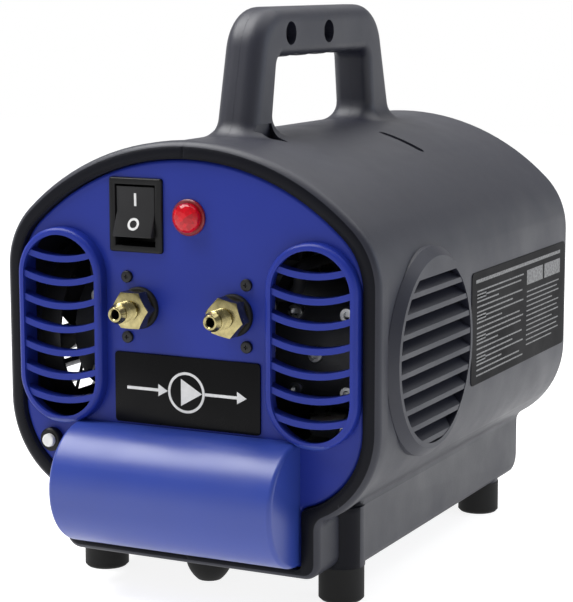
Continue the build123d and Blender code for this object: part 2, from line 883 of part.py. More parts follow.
# ------------------------------------------------------- push-to-reset breaker
with BuildPart() as breaker_body:
    with BuildSketch(across(panel_face)):
        with Locations((breaker_x, breaker_height)):
            Circle(breaker_collar_radius)
    extrude(amount=breaker_collar_length)
    chamfer(breaker_body.faces().sort_by(Axis.Y)[0].edges(), 0.8)
    with BuildSketch(across(panel_face)):
        with Locations((breaker_x, breaker_height)):
            Circle(breaker_body_radius)
    extrude(amount=-breaker_neck_length)
    with BuildSketch(across(panel_face + breaker_neck_length)):
        with Locations((breaker_x, breaker_height)):
            RectangleRounded(breaker_block, breaker_block, 1.5)
    extrude(amount=-(breaker_body_length - breaker_neck_length))
    with BuildSketch(across(panel_face - breaker_collar_length)):
        with Locations((breaker_x, breaker_height)):
            Circle(button_radius + button_gap)
    extrude(amount=-(button_length - button_stand + button_travel + cut_gap), mode=Mode.SUBTRACT)
save(breaker_body.part, "breaker_body")

with BuildPart() as breaker_button:
    with BuildSketch(across(panel_face - breaker_collar_length - button_stand)):
        with Locations((breaker_x, breaker_height)):
            Circle(button_radius)
    extrude(amount=-button_length)
    chamfer(breaker_button.faces().sort_by(Axis.Y)[0].edges(), 0.6)
save(breaker_button.part, "breaker_button")

with BuildPart() as breaker_nut:
    with BuildSketch(across(panel_back)):
        with Locations((breaker_x, breaker_height)):
            add(hexagon(breaker_nut_across))
            Circle(breaker_body_radius + running_gap, mode=Mode.SUBTRACT)
    extrude(amount=-breaker_nut_thickness)
save(breaker_nut.part, "breaker_nut")

# -------------------------------------------------- service ports and manifold
hex_back = panel_face - washer_thickness
hex_front = hex_back - port_hex_length
thread_front = hex_front - flare_thread_length
tip = thread_front - flare_nose_length
nose_taper = math.degrees(math.atan2(flare_thread_radius - flare_nose_radius, flare_nose_length))
for name, side in (("inlet_fitting", -1), ("outlet_fitting", 1)):
    centre = (side * port_x, port_height)
    with BuildPart() as fitting:
        with BuildSketch(across(hex_back)):
            with Locations(centre):
                add(hexagon(port_hex_across))
        extrude(amount=port_hex_length)
        chamfer(fitting.faces().sort_by(Axis.Y)[0].edges(), 0.8)
        with BuildSketch(across(hex_front)):
            with Locations(centre):
                Circle(flare_thread_radius)
        extrude(amount=flare_thread_length)
        with BuildSketch(across(thread_front)):
            with Locations(centre):
                Circle(flare_thread_radius)
        extrude(amount=flare_nose_length, taper=nose_taper)
        with BuildSketch(across(hex_back)):
            with Locations(centre):
                Circle(port_shank_radius)
        extrude(amount=-(washer_thickness + skin + port_shank_length / 2))
        with BuildSketch(across(tip - 1)):
            with Locations(centre):
                Circle(port_bore_radius)
        extrude(amount=-60, mode=Mode.SUBTRACT)
    save(fitting.part, name)

with BuildPart() as port_washers:
    with BuildSketch(across(panel_face)):
        with Locations((-port_x, port_height), (port_x, port_height)):
            Circle(washer_radius)
            Circle(port_shank_radius + cut_gap, mode=Mode.SUBTRACT)
    extrude(amount=washer_thickness)
    chamfer(port_washers.faces().group_by(Axis.Y)[0].edges().sort_by(SortBy.LENGTH)[-2:], 0.8)
save(port_washers.part, "port_washers")

with BuildPart() as manifold_block:
    with BuildSketch(across(panel_back)):
        with Locations((0, port_height)):
            RectangleRounded(manifold_width, manifold_height, 2.0)
    extrude(amount=-manifold_depth)
    with BuildSketch(across(panel_back)):
        with Locations((-port_x, port_height), (port_x, port_height)):
            Circle(port_shank_radius + running_gap)
    extrude(amount=-(port_shank_length / 2 + 1), mode=Mode.SUBTRACT)
    with BuildSketch(across(panel_back)):
        with Locations((0, port_height)):
            with GridLocations(2 * manifold_screw_x, 2 * manifold_screw_z, 2, 2):
                Circle(screw_shank_radius + running_gap)
    extrude(amount=-(screw_shank_length - skin + 0.5), mode=Mode.SUBTRACT)
save(manifold_block.part, "manifold_block")

# ------------------------------------------------------------- housing screws
with BuildPart() as pan_screws:
    with BuildSketch(across(panel_face)):
        with Locations((0, port_height)):
            with GridLocations(2 * manifold_screw_x, 2 * manifold_screw_z, 2, 2):
                Circle(pan_head_radius)
    extrude(amount=pan_head_stand)
    with BuildSketch(across(panel_face)):
        with Locations((0, port_height)):
            with GridLocations(2 * manifold_screw_x, 2 * manifold_screw_z, 2, 2):
                Circle(screw_shank_radius)
    extrude(amount=-screw_shank_length)
    pocket_floor = handle_half_width - pocket_depth
    for setback in pocket_setbacks:
        with BuildSketch(along(pocket_floor)):
            with Locations((front + setback, pocket_height)):
                Circle(pan_head_radius)
        extrude(amount=pan_head_stand)
        with BuildSketch(along(pocket_floor)):
            with Locations((front + setback, pocket_height)):
                Circle(screw_shank_radius)
        extrude(amount=-screw_shank_length)
save(pan_screws.part, "pan_screws")

# ----------------------------------------------------------------- feet, bumper
foot_names = ("foot_front_left", "foot_rear_left", "foot_front_right", "foot_rear_right")
for name, centre in zip(foot_names, foot_centres):
    with BuildPart() as foot:
        with BuildSketch(Plane.XY):
            with Locations(centre):
                Circle(foot_radius)
        extrude(amount=pedestal_floor)
        chamfer(foot.faces().sort_by(Axis.Z)[0].edges(), foot_edge)
        with BuildSketch(Plane.XY):
            with Locations(centre):
                Circle(foot_socket_radius)
        extrude(amount=foot_socket_depth, mode=Mode.SUBTRACT)
        with BuildSketch(Plane.XY):
            with Locations(centre):
                Circle(screw_shank_radius + cut_gap)
        extrude(amount=pedestal_floor, mode=Mode.SUBTRACT)
    save(foot.part, name)

with BuildPart() as foot_screws:
    with BuildSketch(Plane.XY.offset(foot_socket_depth - foot_screw_head_height)):
        with Locations(*foot_centres):
            Circle(foot_screw_head)
    extrude(amount=foot_screw_head_height)
    with BuildSketch(Plane.XY.offset(foot_socket_depth)):
        with Locations(*foot_centres):
            Circle(screw_shank_radius)
    extrude(amount=foot_screw_length)
save(foot_screws.part, "foot_screws")

with BuildPart() as centre_bumper:
    bumper_tip = pedestal_floor - bumper_length
    with BuildSketch(across(front + bumper_setback)):
        with BuildLine():
            Polyline(
                (bumper_tip_radius, bumper_tip),
                (0, bumper_tip),
                (0, pedestal_floor),
                (bumper_top_radius, pedestal_floor),
            )
            ThreePointArc(
                (bumper_top_radius, pedestal_floor),
                (bumper_belly_radius, pedestal_floor - bumper_belly_drop),
                (bumper_tip_radius, bumper_tip),
            )
        make_face()
    revolve(axis=Axis((0, front + bumper_setback, 0), (0, 0, 1)))
save(centre_bumper.part, "centre_bumper")

# ----------------------------------------------------------------- rear panel
with BuildPart() as rear_panel:
    with BuildSketch(across(rear_ledge)):
        add(barrel_section(rear_recess_inset + rear_panel_gap))
    extrude(amount=-rear_panel_thickness)
    with BuildSketch(across(rear_ledge - 1)):
        with Locations((0, rear_slot_centre)):
            with GridLocations(1, rear_slot_pitch, 1, rear_slot_count):
                SlotOverall(rear_slot_length, rear_slot_height)
        with Locations(*rear_screw_centres):
            Circle(screw_shank_radius + cut_gap)
        with Locations((inlet_x, inlet_height)):
            Rectangle(inlet_body_length + 2 * cut_gap, inlet_body_height + 2 * cut_gap)
            with GridLocations(inlet_screw_span, 1, 2, 1):
                Circle(1.5 + cut_gap)
    extrude(amount=-(rear_panel_thickness + 2), mode=Mode.SUBTRACT)
save(rear_panel.part, "rear_panel")

with BuildPart() as power_inlet:
    with BuildSketch(across(rear)):
        with Locations((inlet_x, inlet_height)):
            RectangleRounded(inlet_flange_length, inlet_flange_height, 5.0)
    extrude(amount=-inlet_flange_thickness)
    with BuildSketch(across(rear)):
        with Locations((inlet_x, inlet_height)):
            Rectangle(inlet_body_length, inlet_body_height)
    extrude(amount=inlet_body_depth)
    with BuildSketch(across(rear + inlet_flange_thickness)):
        with Locations((inlet_x, inlet_height)):
            RectangleRounded(inlet_cavity_length, inlet_cavity_height, 2.0)
    extrude(amount=inlet_cavity_depth, mode=Mode.SUBTRACT)
    with BuildSketch(across(rear - 1)):
        with Locations((inlet_x, inlet_height)):
            with GridLocations(inlet_screw_span, 1, 2, 1):
                Circle(1.5 + cut_gap)
    extrude(amount=-(inlet_flange_thickness + 2), mode=Mode.SUBTRACT)
save(power_inlet.part, "power_inlet")

with BuildPart() as power_inlet_pins:
    with BuildSketch(across(rear + inlet_flange_thickness - inlet_cavity_depth)):
        with Locations((inlet_x - 7, inlet_height - 2), (inlet_x + 7, inlet_height - 2)):
            Rectangle(2.0, 4.0)
        with Locations((inlet_x, inlet_height + 2)):
            Rectangle(2.0, 4.0)
    extrude(amount=-(inlet_cavity_depth - inlet_pin_recess))
save(power_inlet_pins.part, "power_inlet_pins")

with BuildPart() as power_inlet_screws:
    with BuildSketch(across(rear + inlet_flange_thickness)):
        with Locations((inlet_x, inlet_height)):
            with GridLocations(inlet_screw_span, 1, 2, 1):
                Circle(2.8)
    extrude(amount=-1.4)
    with BuildSketch(across(rear + inlet_flange_thickness)):
        with Locations((inlet_x, inlet_height)):
            with GridLocations(inlet_screw_span, 1, 2, 1):
                Circle(1.5)
    extrude(amount=10.0)
save(power_inlet_screws.part, "power_inlet_screws")

# -------------------------------------------------------------------- chassis
with BuildPart() as chassis_plate:
    with BuildSketch(Plane.XY.offset(pedestal_floor + wall)):
        with Locations((0, chassis_middle)):
            RectangleRounded(2 * chassis_half_width, chassis_length, 6.0)
        with Locations(*chassis_screw_centres):
            Circle(screw_shank_radius + cut_gap, mode=Mode.SUBTRACT)
    extrude(amount=sheet)
save(chassis_plate.part, "chassis_plate")

with BuildPart() as sheet_screws:
    shank = sheet + chassis_screw_bite - cut_gap
    with BuildSketch(across(rear)):
        with Locations(*rear_screw_centres):
            Circle(sheet_screw_head)
    extrude(amount=-sheet_screw_stand)
    with BuildSketch(across(rear)):
        with Locations(*rear_screw_centres):
            Circle(screw_shank_radius)
    extrude(amount=shank)
    with BuildSketch(Plane.XY.offset(chassis_top)):
        with Locations(*chassis_screw_centres):
            Circle(sheet_screw_head)
    extrude(amount=sheet_screw_stand)
    with BuildSketch(Plane.XY.offset(chassis_top)):
        with Locations(*chassis_screw_centres):
            Circle(screw_shank_radius)
    extrude(amount=-shank)
save(sheet_screws.part, "sheet_screws")

with BuildPart() as motor_isolators:
    with BuildSketch(Plane.XY.offset(chassis_top)):
        with Locations((0, shaft_y)):
            with GridLocations(2 * isolator_x, 2 * isolator_y, 2, 2):
                Circle(isolator_radius)
    extrude(amount=isolator_height)
save(motor_isolators.part, "motor_isolators")

cradle_base = chassis_top + isolator_height
with BuildPart() as motor_cradle:
    with BuildSketch(along(-cradle_half_length)):
        with Locations((shaft_y, (cradle_base + cradle_top) / 2)):
            Rectangle(2 * cradle_half_depth, cradle_top - cradle_base)
            Rectangle(
                cradle_web_span - 2 * sheet, cradle_top - cradle_base - 2 * sheet, mode=Mode.SUBTRACT
            )
    extrude(amount=2 * cradle_half_length)
save(motor_cradle.part, "motor_cradle")

# ----------------------------------------------------------------- drive line
with BuildPart() as motor_shell:
    with BuildSketch(along(-motor_half_length)):
        with Locations((shaft_y, shaft_height)):
            Circle(motor_radius)
    extrude(amount=2 * motor_half_length)
    for row in (-1, 1):
        with BuildSketch(Plane.XY.offset(cradle_top)):
            with Locations((0, shaft_y + row * 19)):
                Rectangle(2 * motor_half_length - 12, 14)
        extrude(amount=shaft_height - cradle_top - 20)
    with BuildSketch(along(-(motor_half_length - sheet))):
        with Locations((shaft_y, shaft_height)):
            Circle(motor_radius - motor_shell_thickness)
    extrude(amount=2 * (motor_half_length - sheet), mode=Mode.SUBTRACT)
    with BuildSketch(along(-motor_half_length)):
        with Locations((shaft_y, shaft_height)):
            Circle(shaft_radius + 1)
    extrude(amount=2 * motor_half_length, mode=Mode.SUBTRACT)
save(motor_shell.part, "motor_shell")


def ring(x, length, outer, inner):
    """Ring about the shaft, from x towards +X."""
    with BuildPart() as body:
        with BuildSketch(along(x)):
            with Locations((shaft_y, shaft_height)):
                Circle(outer)
                Circle(inner, mode=Mode.SUBTRACT)
        extrude(amount=length)
    return body.part


stator_outer = motor_radius - motor_shell_thickness - running_gap
save(ring(-stator_half_length, 2 * stator_half_length, stator_outer, stator_bore), "stator_core")

with BuildPart() as stator_windings:
    add(ring(stator_half_length, winding_length, stator_outer - 3, stator_bore + 2))
    add(ring(-stator_half_length - winding_length, winding_length, stator_outer - 3, stator_bore + 2))
save(stator_windings.part, "stator_windings")

rotor_radius = stator_bore - air_gap
save(
    ring(-stator_half_length, 2 * stator_half_length, rotor_radius, shaft_radius + running_gap), "rotor_core"
)

with BuildPart() as drive_shaft:
    with BuildSketch(along(-shaft_half_length)):
        with Locations((shaft_y, shaft_height)):
            Circle(shaft_radius)
    extrude(amount=2 * shaft_half_length)
    chamfer(drive_shaft.edges().filter_by(GeomType.CIRCLE), 0.6)
save(drive_shaft.part, "drive_shaft")

crankcase_end = motor_half_length + crankcase_length
cylinder_x = motor_half_length + crankcase_length / 2
cylinder_foot = shaft_y + cylinder_seat
head_face = cylinder_foot + cylinder_length
bearing_start = crankcase_end - bearing_length

with BuildPart() as shaft_bearings:
    add(ring(bearing_start, bearing_length, bearing_radius, shaft_radius + running_gap))
    add(ring(-crankcase_end, bearing_length, bearing_radius, shaft_radius + running_gap))
save(shaft_bearings.part, "shaft_bearings")

for name, side in (("left", -1), ("right", 1)):
    centre = (side * cylinder_x, shaft_height)
    with BuildPart() as crankcase:
        with BuildSketch(along(side * motor_half_length)):
            with Locations((shaft_y, shaft_height)):
                Circle(crankcase_radius)
        extrude(amount=side * crankcase_length)
        with BuildSketch(across(cylinder_foot)):
            with Locations(centre):
                Rectangle(head_size, head_size)
        extrude(amount=cylinder_flange)
        with BuildSketch(across(cylinder_foot)):
            with Locations(centre):
                Circle(cylinder_radius)
        extrude(amount=cylinder_seat - 10)
        with BuildSketch(along(side * motor_half_length)):
            with Locations((shaft_y, shaft_height)):
                Circle(shaft_radius + 1)
        extrude(amount=side * crankcase_length, mode=Mode.SUBTRACT)
        with BuildSketch(along(side * bearing_start)):
            with Locations((shaft_y, shaft_height)):
                Circle(bearing_radius + running_gap)
        extrude(amount=side * bearing_length, mode=Mode.SUBTRACT)
        with BuildSketch(across(cylinder_foot)):
            with Locations(centre):
                with GridLocations(head_bolt_span, head_bolt_span, 2, 2):
                    Circle(head_bolt_shank + running_gap)
        extrude(amount=cylinder_flange, mode=Mode.SUBTRACT)
    save(crankcase.part, f"crankcase_{name}")

    with BuildPart() as cylinder:
        with BuildSketch(across(cylinder_foot)):
            with Locations(centre):
                Circle(cylinder_radius)
        extrude(amount=-cylinder_length)
        for row in range(cylinder_fin_count):
            with BuildSketch(across(cylinder_foot + cylinder_flange + 2 + row * cylinder_fin_pitch)):
                with Locations(centre):
                    Circle(cylinder_fin_radius)
            extrude(amount=-cylinder_fin_thickness)
    save(cylinder.part, f"cylinder_{name}")

    with BuildPart() as head:
        with BuildSketch(across(head_face)):
            with Locations(centre):
                RectangleRounded(head_size, head_size, 4.0)
        extrude(amount=-head_thickness)
        with BuildSketch(across(head_face)):
            with Locations(centre):
                with GridLocations(head_bolt_span, head_bolt_span, 2, 2):
                    Circle(head_bolt_shank + cut_gap)
        extrude(amount=-head_thickness, mode=Mode.SUBTRACT)
    save(head.part, f"head_{name}")

with BuildPart() as head_bolts:
    for side in (-1, 1):
        with BuildSketch(across(head_face + head_thickness)):
            with Locations((side * cylinder_x, shaft_height)):
                with GridLocations(head_bolt_span, head_bolt_span, 2, 2):
                    RegularPolygon(head_bolt_radius, 6)
        extrude(amount=-head_bolt_head)
        with BuildSketch(across(head_face + head_thickness)):
            with Locations((side * cylinder_x, shaft_height)):
                with GridLocations(head_bolt_span, head_bolt_span, 2, 2):
                    Circle(head_bolt_shank)
        extrude(amount=head_thickness + cylinder_length + cylinder_flange - 1)
save(head_bolts.part, "head_bolts")

for name, side in (("left", -1), ("right", 1)):
    with BuildPart() as fan:
        with BuildPart(Plane((side * fan_centre, shaft_y, shaft_height), z_dir=(1, 0, 0))):
            with PolarLocations((fan_hub_radius + fan_radius) / 2, fan_blade_count):
                Box(
                    fan_radius - fan_hub_radius + 8,
                    fan_blade_chord,
                    fan_blade_thickness,
                    rotation=(side * fan_blade_pitch, 0, 0),
                )
        with BuildSketch(along(side * fan_centre - fan_length / 2)):
            with Locations((shaft_y, shaft_height)):
                Circle(fan_radius)
        extrude(amount=fan_length, mode=Mode.INTERSECT)
        with BuildSketch(along(side * fan_centre - fan_length / 2)):
            with Locations((shaft_y, shaft_height)):
                Circle(fan_hub_radius)
        extrude(amount=fan_length)
        with BuildSketch(along(side * fan_centre - fan_length / 2)):
            with Locations((shaft_y, shaft_height)):
                Circle(shaft_radius + running_gap)
        extrude(amount=fan_length, mode=Mode.SUBTRACT)
    save(fan.part, f"fan_{name}")

    with BuildPart() as shroud:
        lip = side * (half_width - wall)
        with BuildSketch(along(lip - side * shroud_length)):
            with Locations((shaft_y, shaft_height)):
                Circle(fan_radius + shroud_gap + shroud_thickness)
        extrude(amount=side * shroud_length)
        with BuildSketch(along(lip - side * 4)):
            with Locations((shaft_y, shaft_height)):
                Circle(cover_hole_radius - running_gap)
        extrude(amount=side * 4)
        with BuildSketch(along(lip - side * shroud_length)):
            with Locations((shaft_y, shaft_height)):
                Circle(fan_radius + shroud_gap)
        extrude(amount=side * shroud_length, mode=Mode.SUBTRACT)
    save(shroud.part, f"fan_shroud_{name}")

# ------------------------------------------------------------------ condenser
condenser_middle = front + condenser_setback + condenser_depth / 2
condenser_face = condenser_middle - condenser_depth / 2
with BuildPart() as condenser_core:
    with BuildSketch(across(condenser_middle - condenser_core_depth / 2)):
        with Locations((0, condenser_bottom + condenser_height / 2)):
            Rectangle(2 * condenser_half_length, condenser_height)
    extrude(amount=-condenser_core_depth)
    fin_pitch = (2 * condenser_half_length - fin_thickness) / (fin_count - 1)
    with BuildSketch(across(condenser_face)):
        with Locations((0, condenser_bottom + condenser_height / 2)):
            with GridLocations(fin_pitch, 1, fin_count, 1):
                Rectangle(fin_thickness, condenser_height)
    extrude(amount=-condenser_depth)
save(condenser_core.part, "condenser_core")

first_row = condenser_bottom + (condenser_height - (tube_rows - 1) * tube_pitch) / 2
with BuildPart() as condenser_bends:
    for row in range(tube_rows - 1):
        side = 1 if row % 2 == 0 else -1
        height = first_row + (row + 0.5) * tube_pitch
        with BuildSketch(along(side * condenser_half_length)):
            with Locations((condenser_middle, height - tube_pitch / 2)):
                Circle(tube_radius)
        revolve(
            axis=Axis((side * condenser_half_length, condenser_middle, height), (0, 1, 0)),
            revolution_arc=-side * 180,
        )
save(condenser_bends.part, "condenser_bends")

with BuildPart() as condenser_brackets:
    for side in (-1, 1):
        with BuildSketch(along(side * bracket_inner)):
            with BuildLine():
                Polyline(
                    (condenser_middle - 6, chassis_top),
                    (condenser_middle + 18, chassis_top),
                    (condenser_middle + 18, chassis_top + sheet),
                    (condenser_middle - 3, chassis_top + sheet),
                    (condenser_middle - 3, condenser_bottom - sheet),
                    (condenser_middle + 6, condenser_bottom - sheet),
                    (condenser_middle + 6, condenser_bottom),
                    (condenser_middle - 6, condenser_bottom),
                    close=True,
                )
            make_face()
        extrude(amount=side * bracket_width)
save(condenser_brackets.part, "condenser_brackets")


# --------------------------------------------------------------- copper lines
def pipe(points):
    """Copper line through points, its corners bent round."""
    with BuildPart() as tube:
        with BuildLine() as path:
            FilletPolyline(*points, radius=line_bend)
        with BuildSketch(Plane(origin=path.line @ 0, z_dir=path.line % 0)):
            Circle(line_radius)
        sweep()
    return tube.part


manifold_side = manifold_width / 2
line_y = front + line_setback
corner_y = front + line_corner_setback
low_row = first_row
high_row = first_row + (tube_rows - 1) * tube_pitch
head_middle = head_face + head_thickness / 2
head_rear = head_face + head_thickness
head_top = shaft_height + head_size / 2

save(
    pipe(
        [
            (-manifold_side, line_y, port_line_height),
            (-cylinder_x, line_y, port_line_height),
            (-cylinder_x, line_y, line_height),
            (-cylinder_x, head_middle, line_height),
            (-cylinder_x, head_middle, head_top),
        ]
    ),
    "suction_line",
)
save(
    pipe(
        [
            (manifold_side, line_y, port_line_height),
            (cylinder_x, line_y, port_line_height),
            (cylinder_x, line_y, line_height),
            (cylinder_x, corner_y, line_height),
            (line_corner_x, corner_y, line_height),
            (line_corner_x, condenser_middle, high_row),
            (condenser_half_length, condenser_middle, high_row),
        ]
    ),
    "return_line",
)

with BuildPart() as crossover_line:
    with BuildSketch(along(head_size / 2 - cylinder_x)):
        with Locations((head_middle, head_top - 10)):
            Circle(line_radius)
    extrude(amount=2 * cylinder_x - head_size)
save(crossover_line.part, "crossover_line")

with BuildPart() as discharge_lines:
    add(
        pipe(
            [
                (cylinder_x, head_rear, discharge_height),
                (cylinder_x, corner_y, discharge_height),
                (cylinder_x, corner_y, low_row),
                (-line_corner_x, corner_y, low_row),
                (-line_corner_x, condenser_middle, low_row),
                (-condenser_half_length, condenser_middle, low_row),
            ]
        )
    )
    add(
        pipe(
            [
                (-cylinder_x, head_rear, discharge_height),
                (-cylinder_x, corner_y, discharge_height),
                (-cylinder_x, corner_y, low_row),
            ]
        )
    )
    with Locations((-cylinder_x, corner_y, low_row)):
        Box(12, 9, 9)
save(discharge_lines.part, "discharge_lines")

# ----------------------------------------------------------- electrical parts
capacitor_y = front + capacitor_setback
capacitor_height = chassis_top + clamp_thickness + running_gap + capacitor_radius
with BuildPart() as capacitor:
    with BuildSketch(along(-capacitor_length / 2)):
        with Locations((capacitor_y, capacitor_height)):
            Circle(capacitor_radius)
    extrude(amount=capacitor_length)
    chamfer(capacitor.edges().filter_by(GeomType.CIRCLE), 1.5)
save(capacitor.part, "capacitor")

with BuildPart() as capacitor_clamp:
    with BuildSketch(along(-clamp_width / 2)):
        with Locations((capacitor_y, capacitor_height)):
            Circle(capacitor_radius + running_gap + clamp_thickness)
        with Locations((capacitor_y, chassis_top + clamp_thickness)):
            Rectangle(2 * clamp_foot, 2 * clamp_thickness)
        with Locations((capacitor_y, capacitor_height)):
            Circle(capacitor_radius + running_gap, mode=Mode.SUBTRACT)
    extrude(amount=clamp_width)
save(capacitor_clamp.part, "capacitor_clamp")

manifold_top = port_height + manifold_height / 2
with BuildPart() as pressure_switch:
    with BuildSketch(Plane.XY.offset(manifold_top)):
        with Locations((port_x, panel_back + manifold_depth / 2)):
            Circle(pressure_switch_radius)
    extrude(amount=pressure_switch_length)
    chamfer(pressure_switch.faces().sort_by(Axis.Z)[-1].edges(), 1.0)
save(pressure_switch.part, "pressure_switch")
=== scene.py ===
"""Looks for a portable refrigerant recovery machine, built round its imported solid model."""

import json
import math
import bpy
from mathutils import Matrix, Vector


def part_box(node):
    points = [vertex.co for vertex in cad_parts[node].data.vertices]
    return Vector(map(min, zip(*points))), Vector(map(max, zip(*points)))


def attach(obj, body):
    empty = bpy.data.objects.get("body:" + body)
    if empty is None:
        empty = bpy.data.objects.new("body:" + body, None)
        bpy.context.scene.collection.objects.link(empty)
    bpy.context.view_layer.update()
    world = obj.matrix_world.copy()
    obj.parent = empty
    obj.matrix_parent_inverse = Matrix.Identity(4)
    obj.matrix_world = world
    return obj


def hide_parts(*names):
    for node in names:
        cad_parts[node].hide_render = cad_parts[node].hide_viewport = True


bl_info = {
    "name": "Recovery Machine Looks",
    "version": (1, 0, 0),
    "blender": (4, 5, 0),
    "location": "View3D > Sidebar > Recovery Machine",
    "description": "Dresses the solid model of a portable recovery machine with its finishes and small parts",
    "category": "Object",
}

import bmesh
import bpy
from bpy.props import FloatProperty, FloatVectorProperty, IntProperty, PointerProperty
from mathutils import Matrix, Vector

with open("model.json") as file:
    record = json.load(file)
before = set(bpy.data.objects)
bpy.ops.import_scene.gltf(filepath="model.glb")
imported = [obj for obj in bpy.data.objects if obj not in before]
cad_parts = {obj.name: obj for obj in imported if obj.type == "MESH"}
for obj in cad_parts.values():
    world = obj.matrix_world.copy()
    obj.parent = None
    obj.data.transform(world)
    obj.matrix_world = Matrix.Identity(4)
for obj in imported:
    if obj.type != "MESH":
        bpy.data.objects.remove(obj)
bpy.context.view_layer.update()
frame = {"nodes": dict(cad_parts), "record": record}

MM = 0.001
QUARTER_TURN = math.radians(90)
ORIGIN = Vector((0, 0, 0))
TOUCH = 0.01 * MM  # points this close to a plane lie on it
SAME_POINT = 2e-6  # points of a solid's mesh this close are one
SAME_RING = 1e-7  # points of a spun mesh this close are one
FLAT = math.radians(0.1)  # faces that meet at less than this are one
NOISE_LOW, NOISE_HIGH = 0.3, 0.7  # nearly all of a noise texture lies between these


# ------------------------------------------------------------------- settings
class FinishSettings(bpy.types.PropertyGroup):
    """Colours of the visible finishes."""

    housing: FloatVectorProperty(
        name="Housing", description="Charcoal plastic of the housing", subtype="COLOR",
        default=(0.0105, 0.0115, 0.021), min=0, max=1,
    )
    panel: FloatVectorProperty(
        name="Front panel", description="Blue plastic of the front panel", subtype="COLOR",
        default=(0.012, 0.025, 0.225), min=0, max=1,
    )
    # the drum's blue is lighter and paler than the panel's; part of that is painted sheen
    drum: FloatVectorProperty(
        name="Drum", description="Satin blue plastic of the drum", subtype="COLOR",
        default=(0.022, 0.046, 0.265), min=0, max=1,
    )
    black: FloatVectorProperty(
        name="Black plastic", description="Switch, breaker and plates", subtype="COLOR",
        default=(0.004, 0.004, 0.0045), min=0, max=1,
    )
    brass: FloatVectorProperty(
        name="Brass", description="Port fittings", subtype="COLOR",
        default=(0.35, 0.30, 0.145), min=0, max=1,
    )
    lens: FloatVectorProperty(
        name="Lens", description="Pilot lamp lens", subtype="COLOR",
        default=(0.50, 0.002, 0.010), min=0, max=1,
    )
    print: FloatVectorProperty(
        name="Print", description="Light printing on plates and switch", subtype="COLOR",
        default=(0.62, 0.62, 0.62), min=0, max=1,
    )


class SizeSettings(bpy.types.PropertyGroup):
    """Sizes of the small parts that the looks add."""

    thread_pitch: FloatProperty(
        name="Thread pitch", description="Pitch of the flare thread", unit="LENGTH", default=1.27 * MM
    )
    thread_depth: FloatProperty(
        name="Thread depth", description="Depth of the flare thread", unit="LENGTH", default=0.62 * MM
    )
    rocker_tilt: FloatProperty(
        name="Rocker tilt", description="Lean of the rocker at rest", subtype="ANGLE",
        default=math.radians(10),
    )
    rocker_half: FloatProperty(
        name="Half rocker", description="Half the height of the paddle", unit="LENGTH", default=13.5 * MM
    )
    rocker_dish: FloatProperty(
        name="Rocker dish", description="Depth of the dip in the paddle", unit="LENGTH", default=2.6 * MM
    )
    outlet_turn: FloatProperty(
        name="Outlet turn", description="How far the outlet hexagon is turned", subtype="ANGLE",
        default=math.radians(12),
    )
    pan_head: FloatProperty(
        name="Screw head", description="Radius of the pan heads", unit="LENGTH", default=3.2 * MM
    )
    lens_radius: FloatProperty(
        name="Lens radius", description="Radius of the pilot lens", unit="LENGTH", default=7.8 * MM
    )
    lens_stand: FloatProperty(
        name="Lens height", description="How far the lens stands out", unit="LENGTH", default=5.6 * MM
    )
    seam: FloatProperty(
        name="Seam", description="Rounding of the halves at their seam", unit="LENGTH", default=0.2 * MM
    )
    turn_steps: IntProperty(
        name="Steps per turn", description="Segments of a turned piece", default=64, min=12
    )


class StudioSettings(bpy.types.PropertyGroup):
    """Camera and lights."""

    camera_place: FloatVectorProperty(
        name="Camera", description="Place of the camera", subtype="TRANSLATION",
        default=(0.5116, -1.0441, 0.3287),
    )
    camera_turn: FloatProperty(
        name="Turn", description="Camera heading from the back direction", subtype="ANGLE",
        default=math.radians(26.34),
    )
    camera_pitch: FloatProperty(
        name="Pitch", description="How far the camera looks down", subtype="ANGLE",
        default=math.radians(9.1),
    )
    camera_roll: FloatProperty(
        name="Roll", description="Roll of the camera", subtype="ANGLE", default=math.radians(-0.07)
    )
    lens: FloatProperty(name="Lens", description="Focal length in millimetres", default=127.5)
    floor_glow: FloatProperty(name="Floor glow", description="Light that the floor gives off", default=0.86)
    ceiling: FloatProperty(name="Ceiling", description="Brightness of the room overhead", default=0.25)
    floor_size: FloatProperty(
        name="Floor", description="Side of the floor", unit="LENGTH", default=6.0
    )


# ------------------------------------------------------------------ materials
def finish(
    name, colour, roughness, metallic=0.0, coat=0.0, specular=0.5, ior=1.5, tone=(), wear=(), relief=(),
):
    """Make a named shader; tone, wear and relief are the sizes that mottle, smear and grain take."""
    material = bpy.data.materials.new(name)
    material.use_nodes = True
    shader = material.node_tree.nodes["Principled BSDF"]
    shader.inputs["Base Color"].default_value = (*colour, 1)
    shader.inputs["Roughness"].default_value = roughness
    shader.inputs["Metallic"].default_value = metallic
    shader.inputs["Coat Weight"].default_value = coat
    shader.inputs["Specular IOR Level"].default_value = specular
    shader.inputs["IOR"].default_value = ior
    material.diffuse_color = (*colour, 1)
    if tone:
        mottle(material, *tone)
    if wear:
        smear(material, *wear)
    if relief:
        grain(material, *relief)
    return material


def noise_of(material, size, detail, stretch=(1, 1, 1)):
    """Noise on object coordinates whose features are size metres across."""
    nodes = material.node_tree.nodes
    links = material.node_tree.links
    place = nodes.new("ShaderNodeTexCoord")
    mapping = nodes.new("ShaderNodeMapping")
    mapping.inputs["Scale"].default_value = stretch
    noise = nodes.new("ShaderNodeTexNoise")
    noise.inputs["Scale"].default_value = 1 / size
    noise.inputs["Detail"].default_value = detail
    links.new(place.outputs["Object"], mapping.inputs["Vector"])
    links.new(mapping.outputs["Vector"], noise.inputs["Vector"])
    return noise


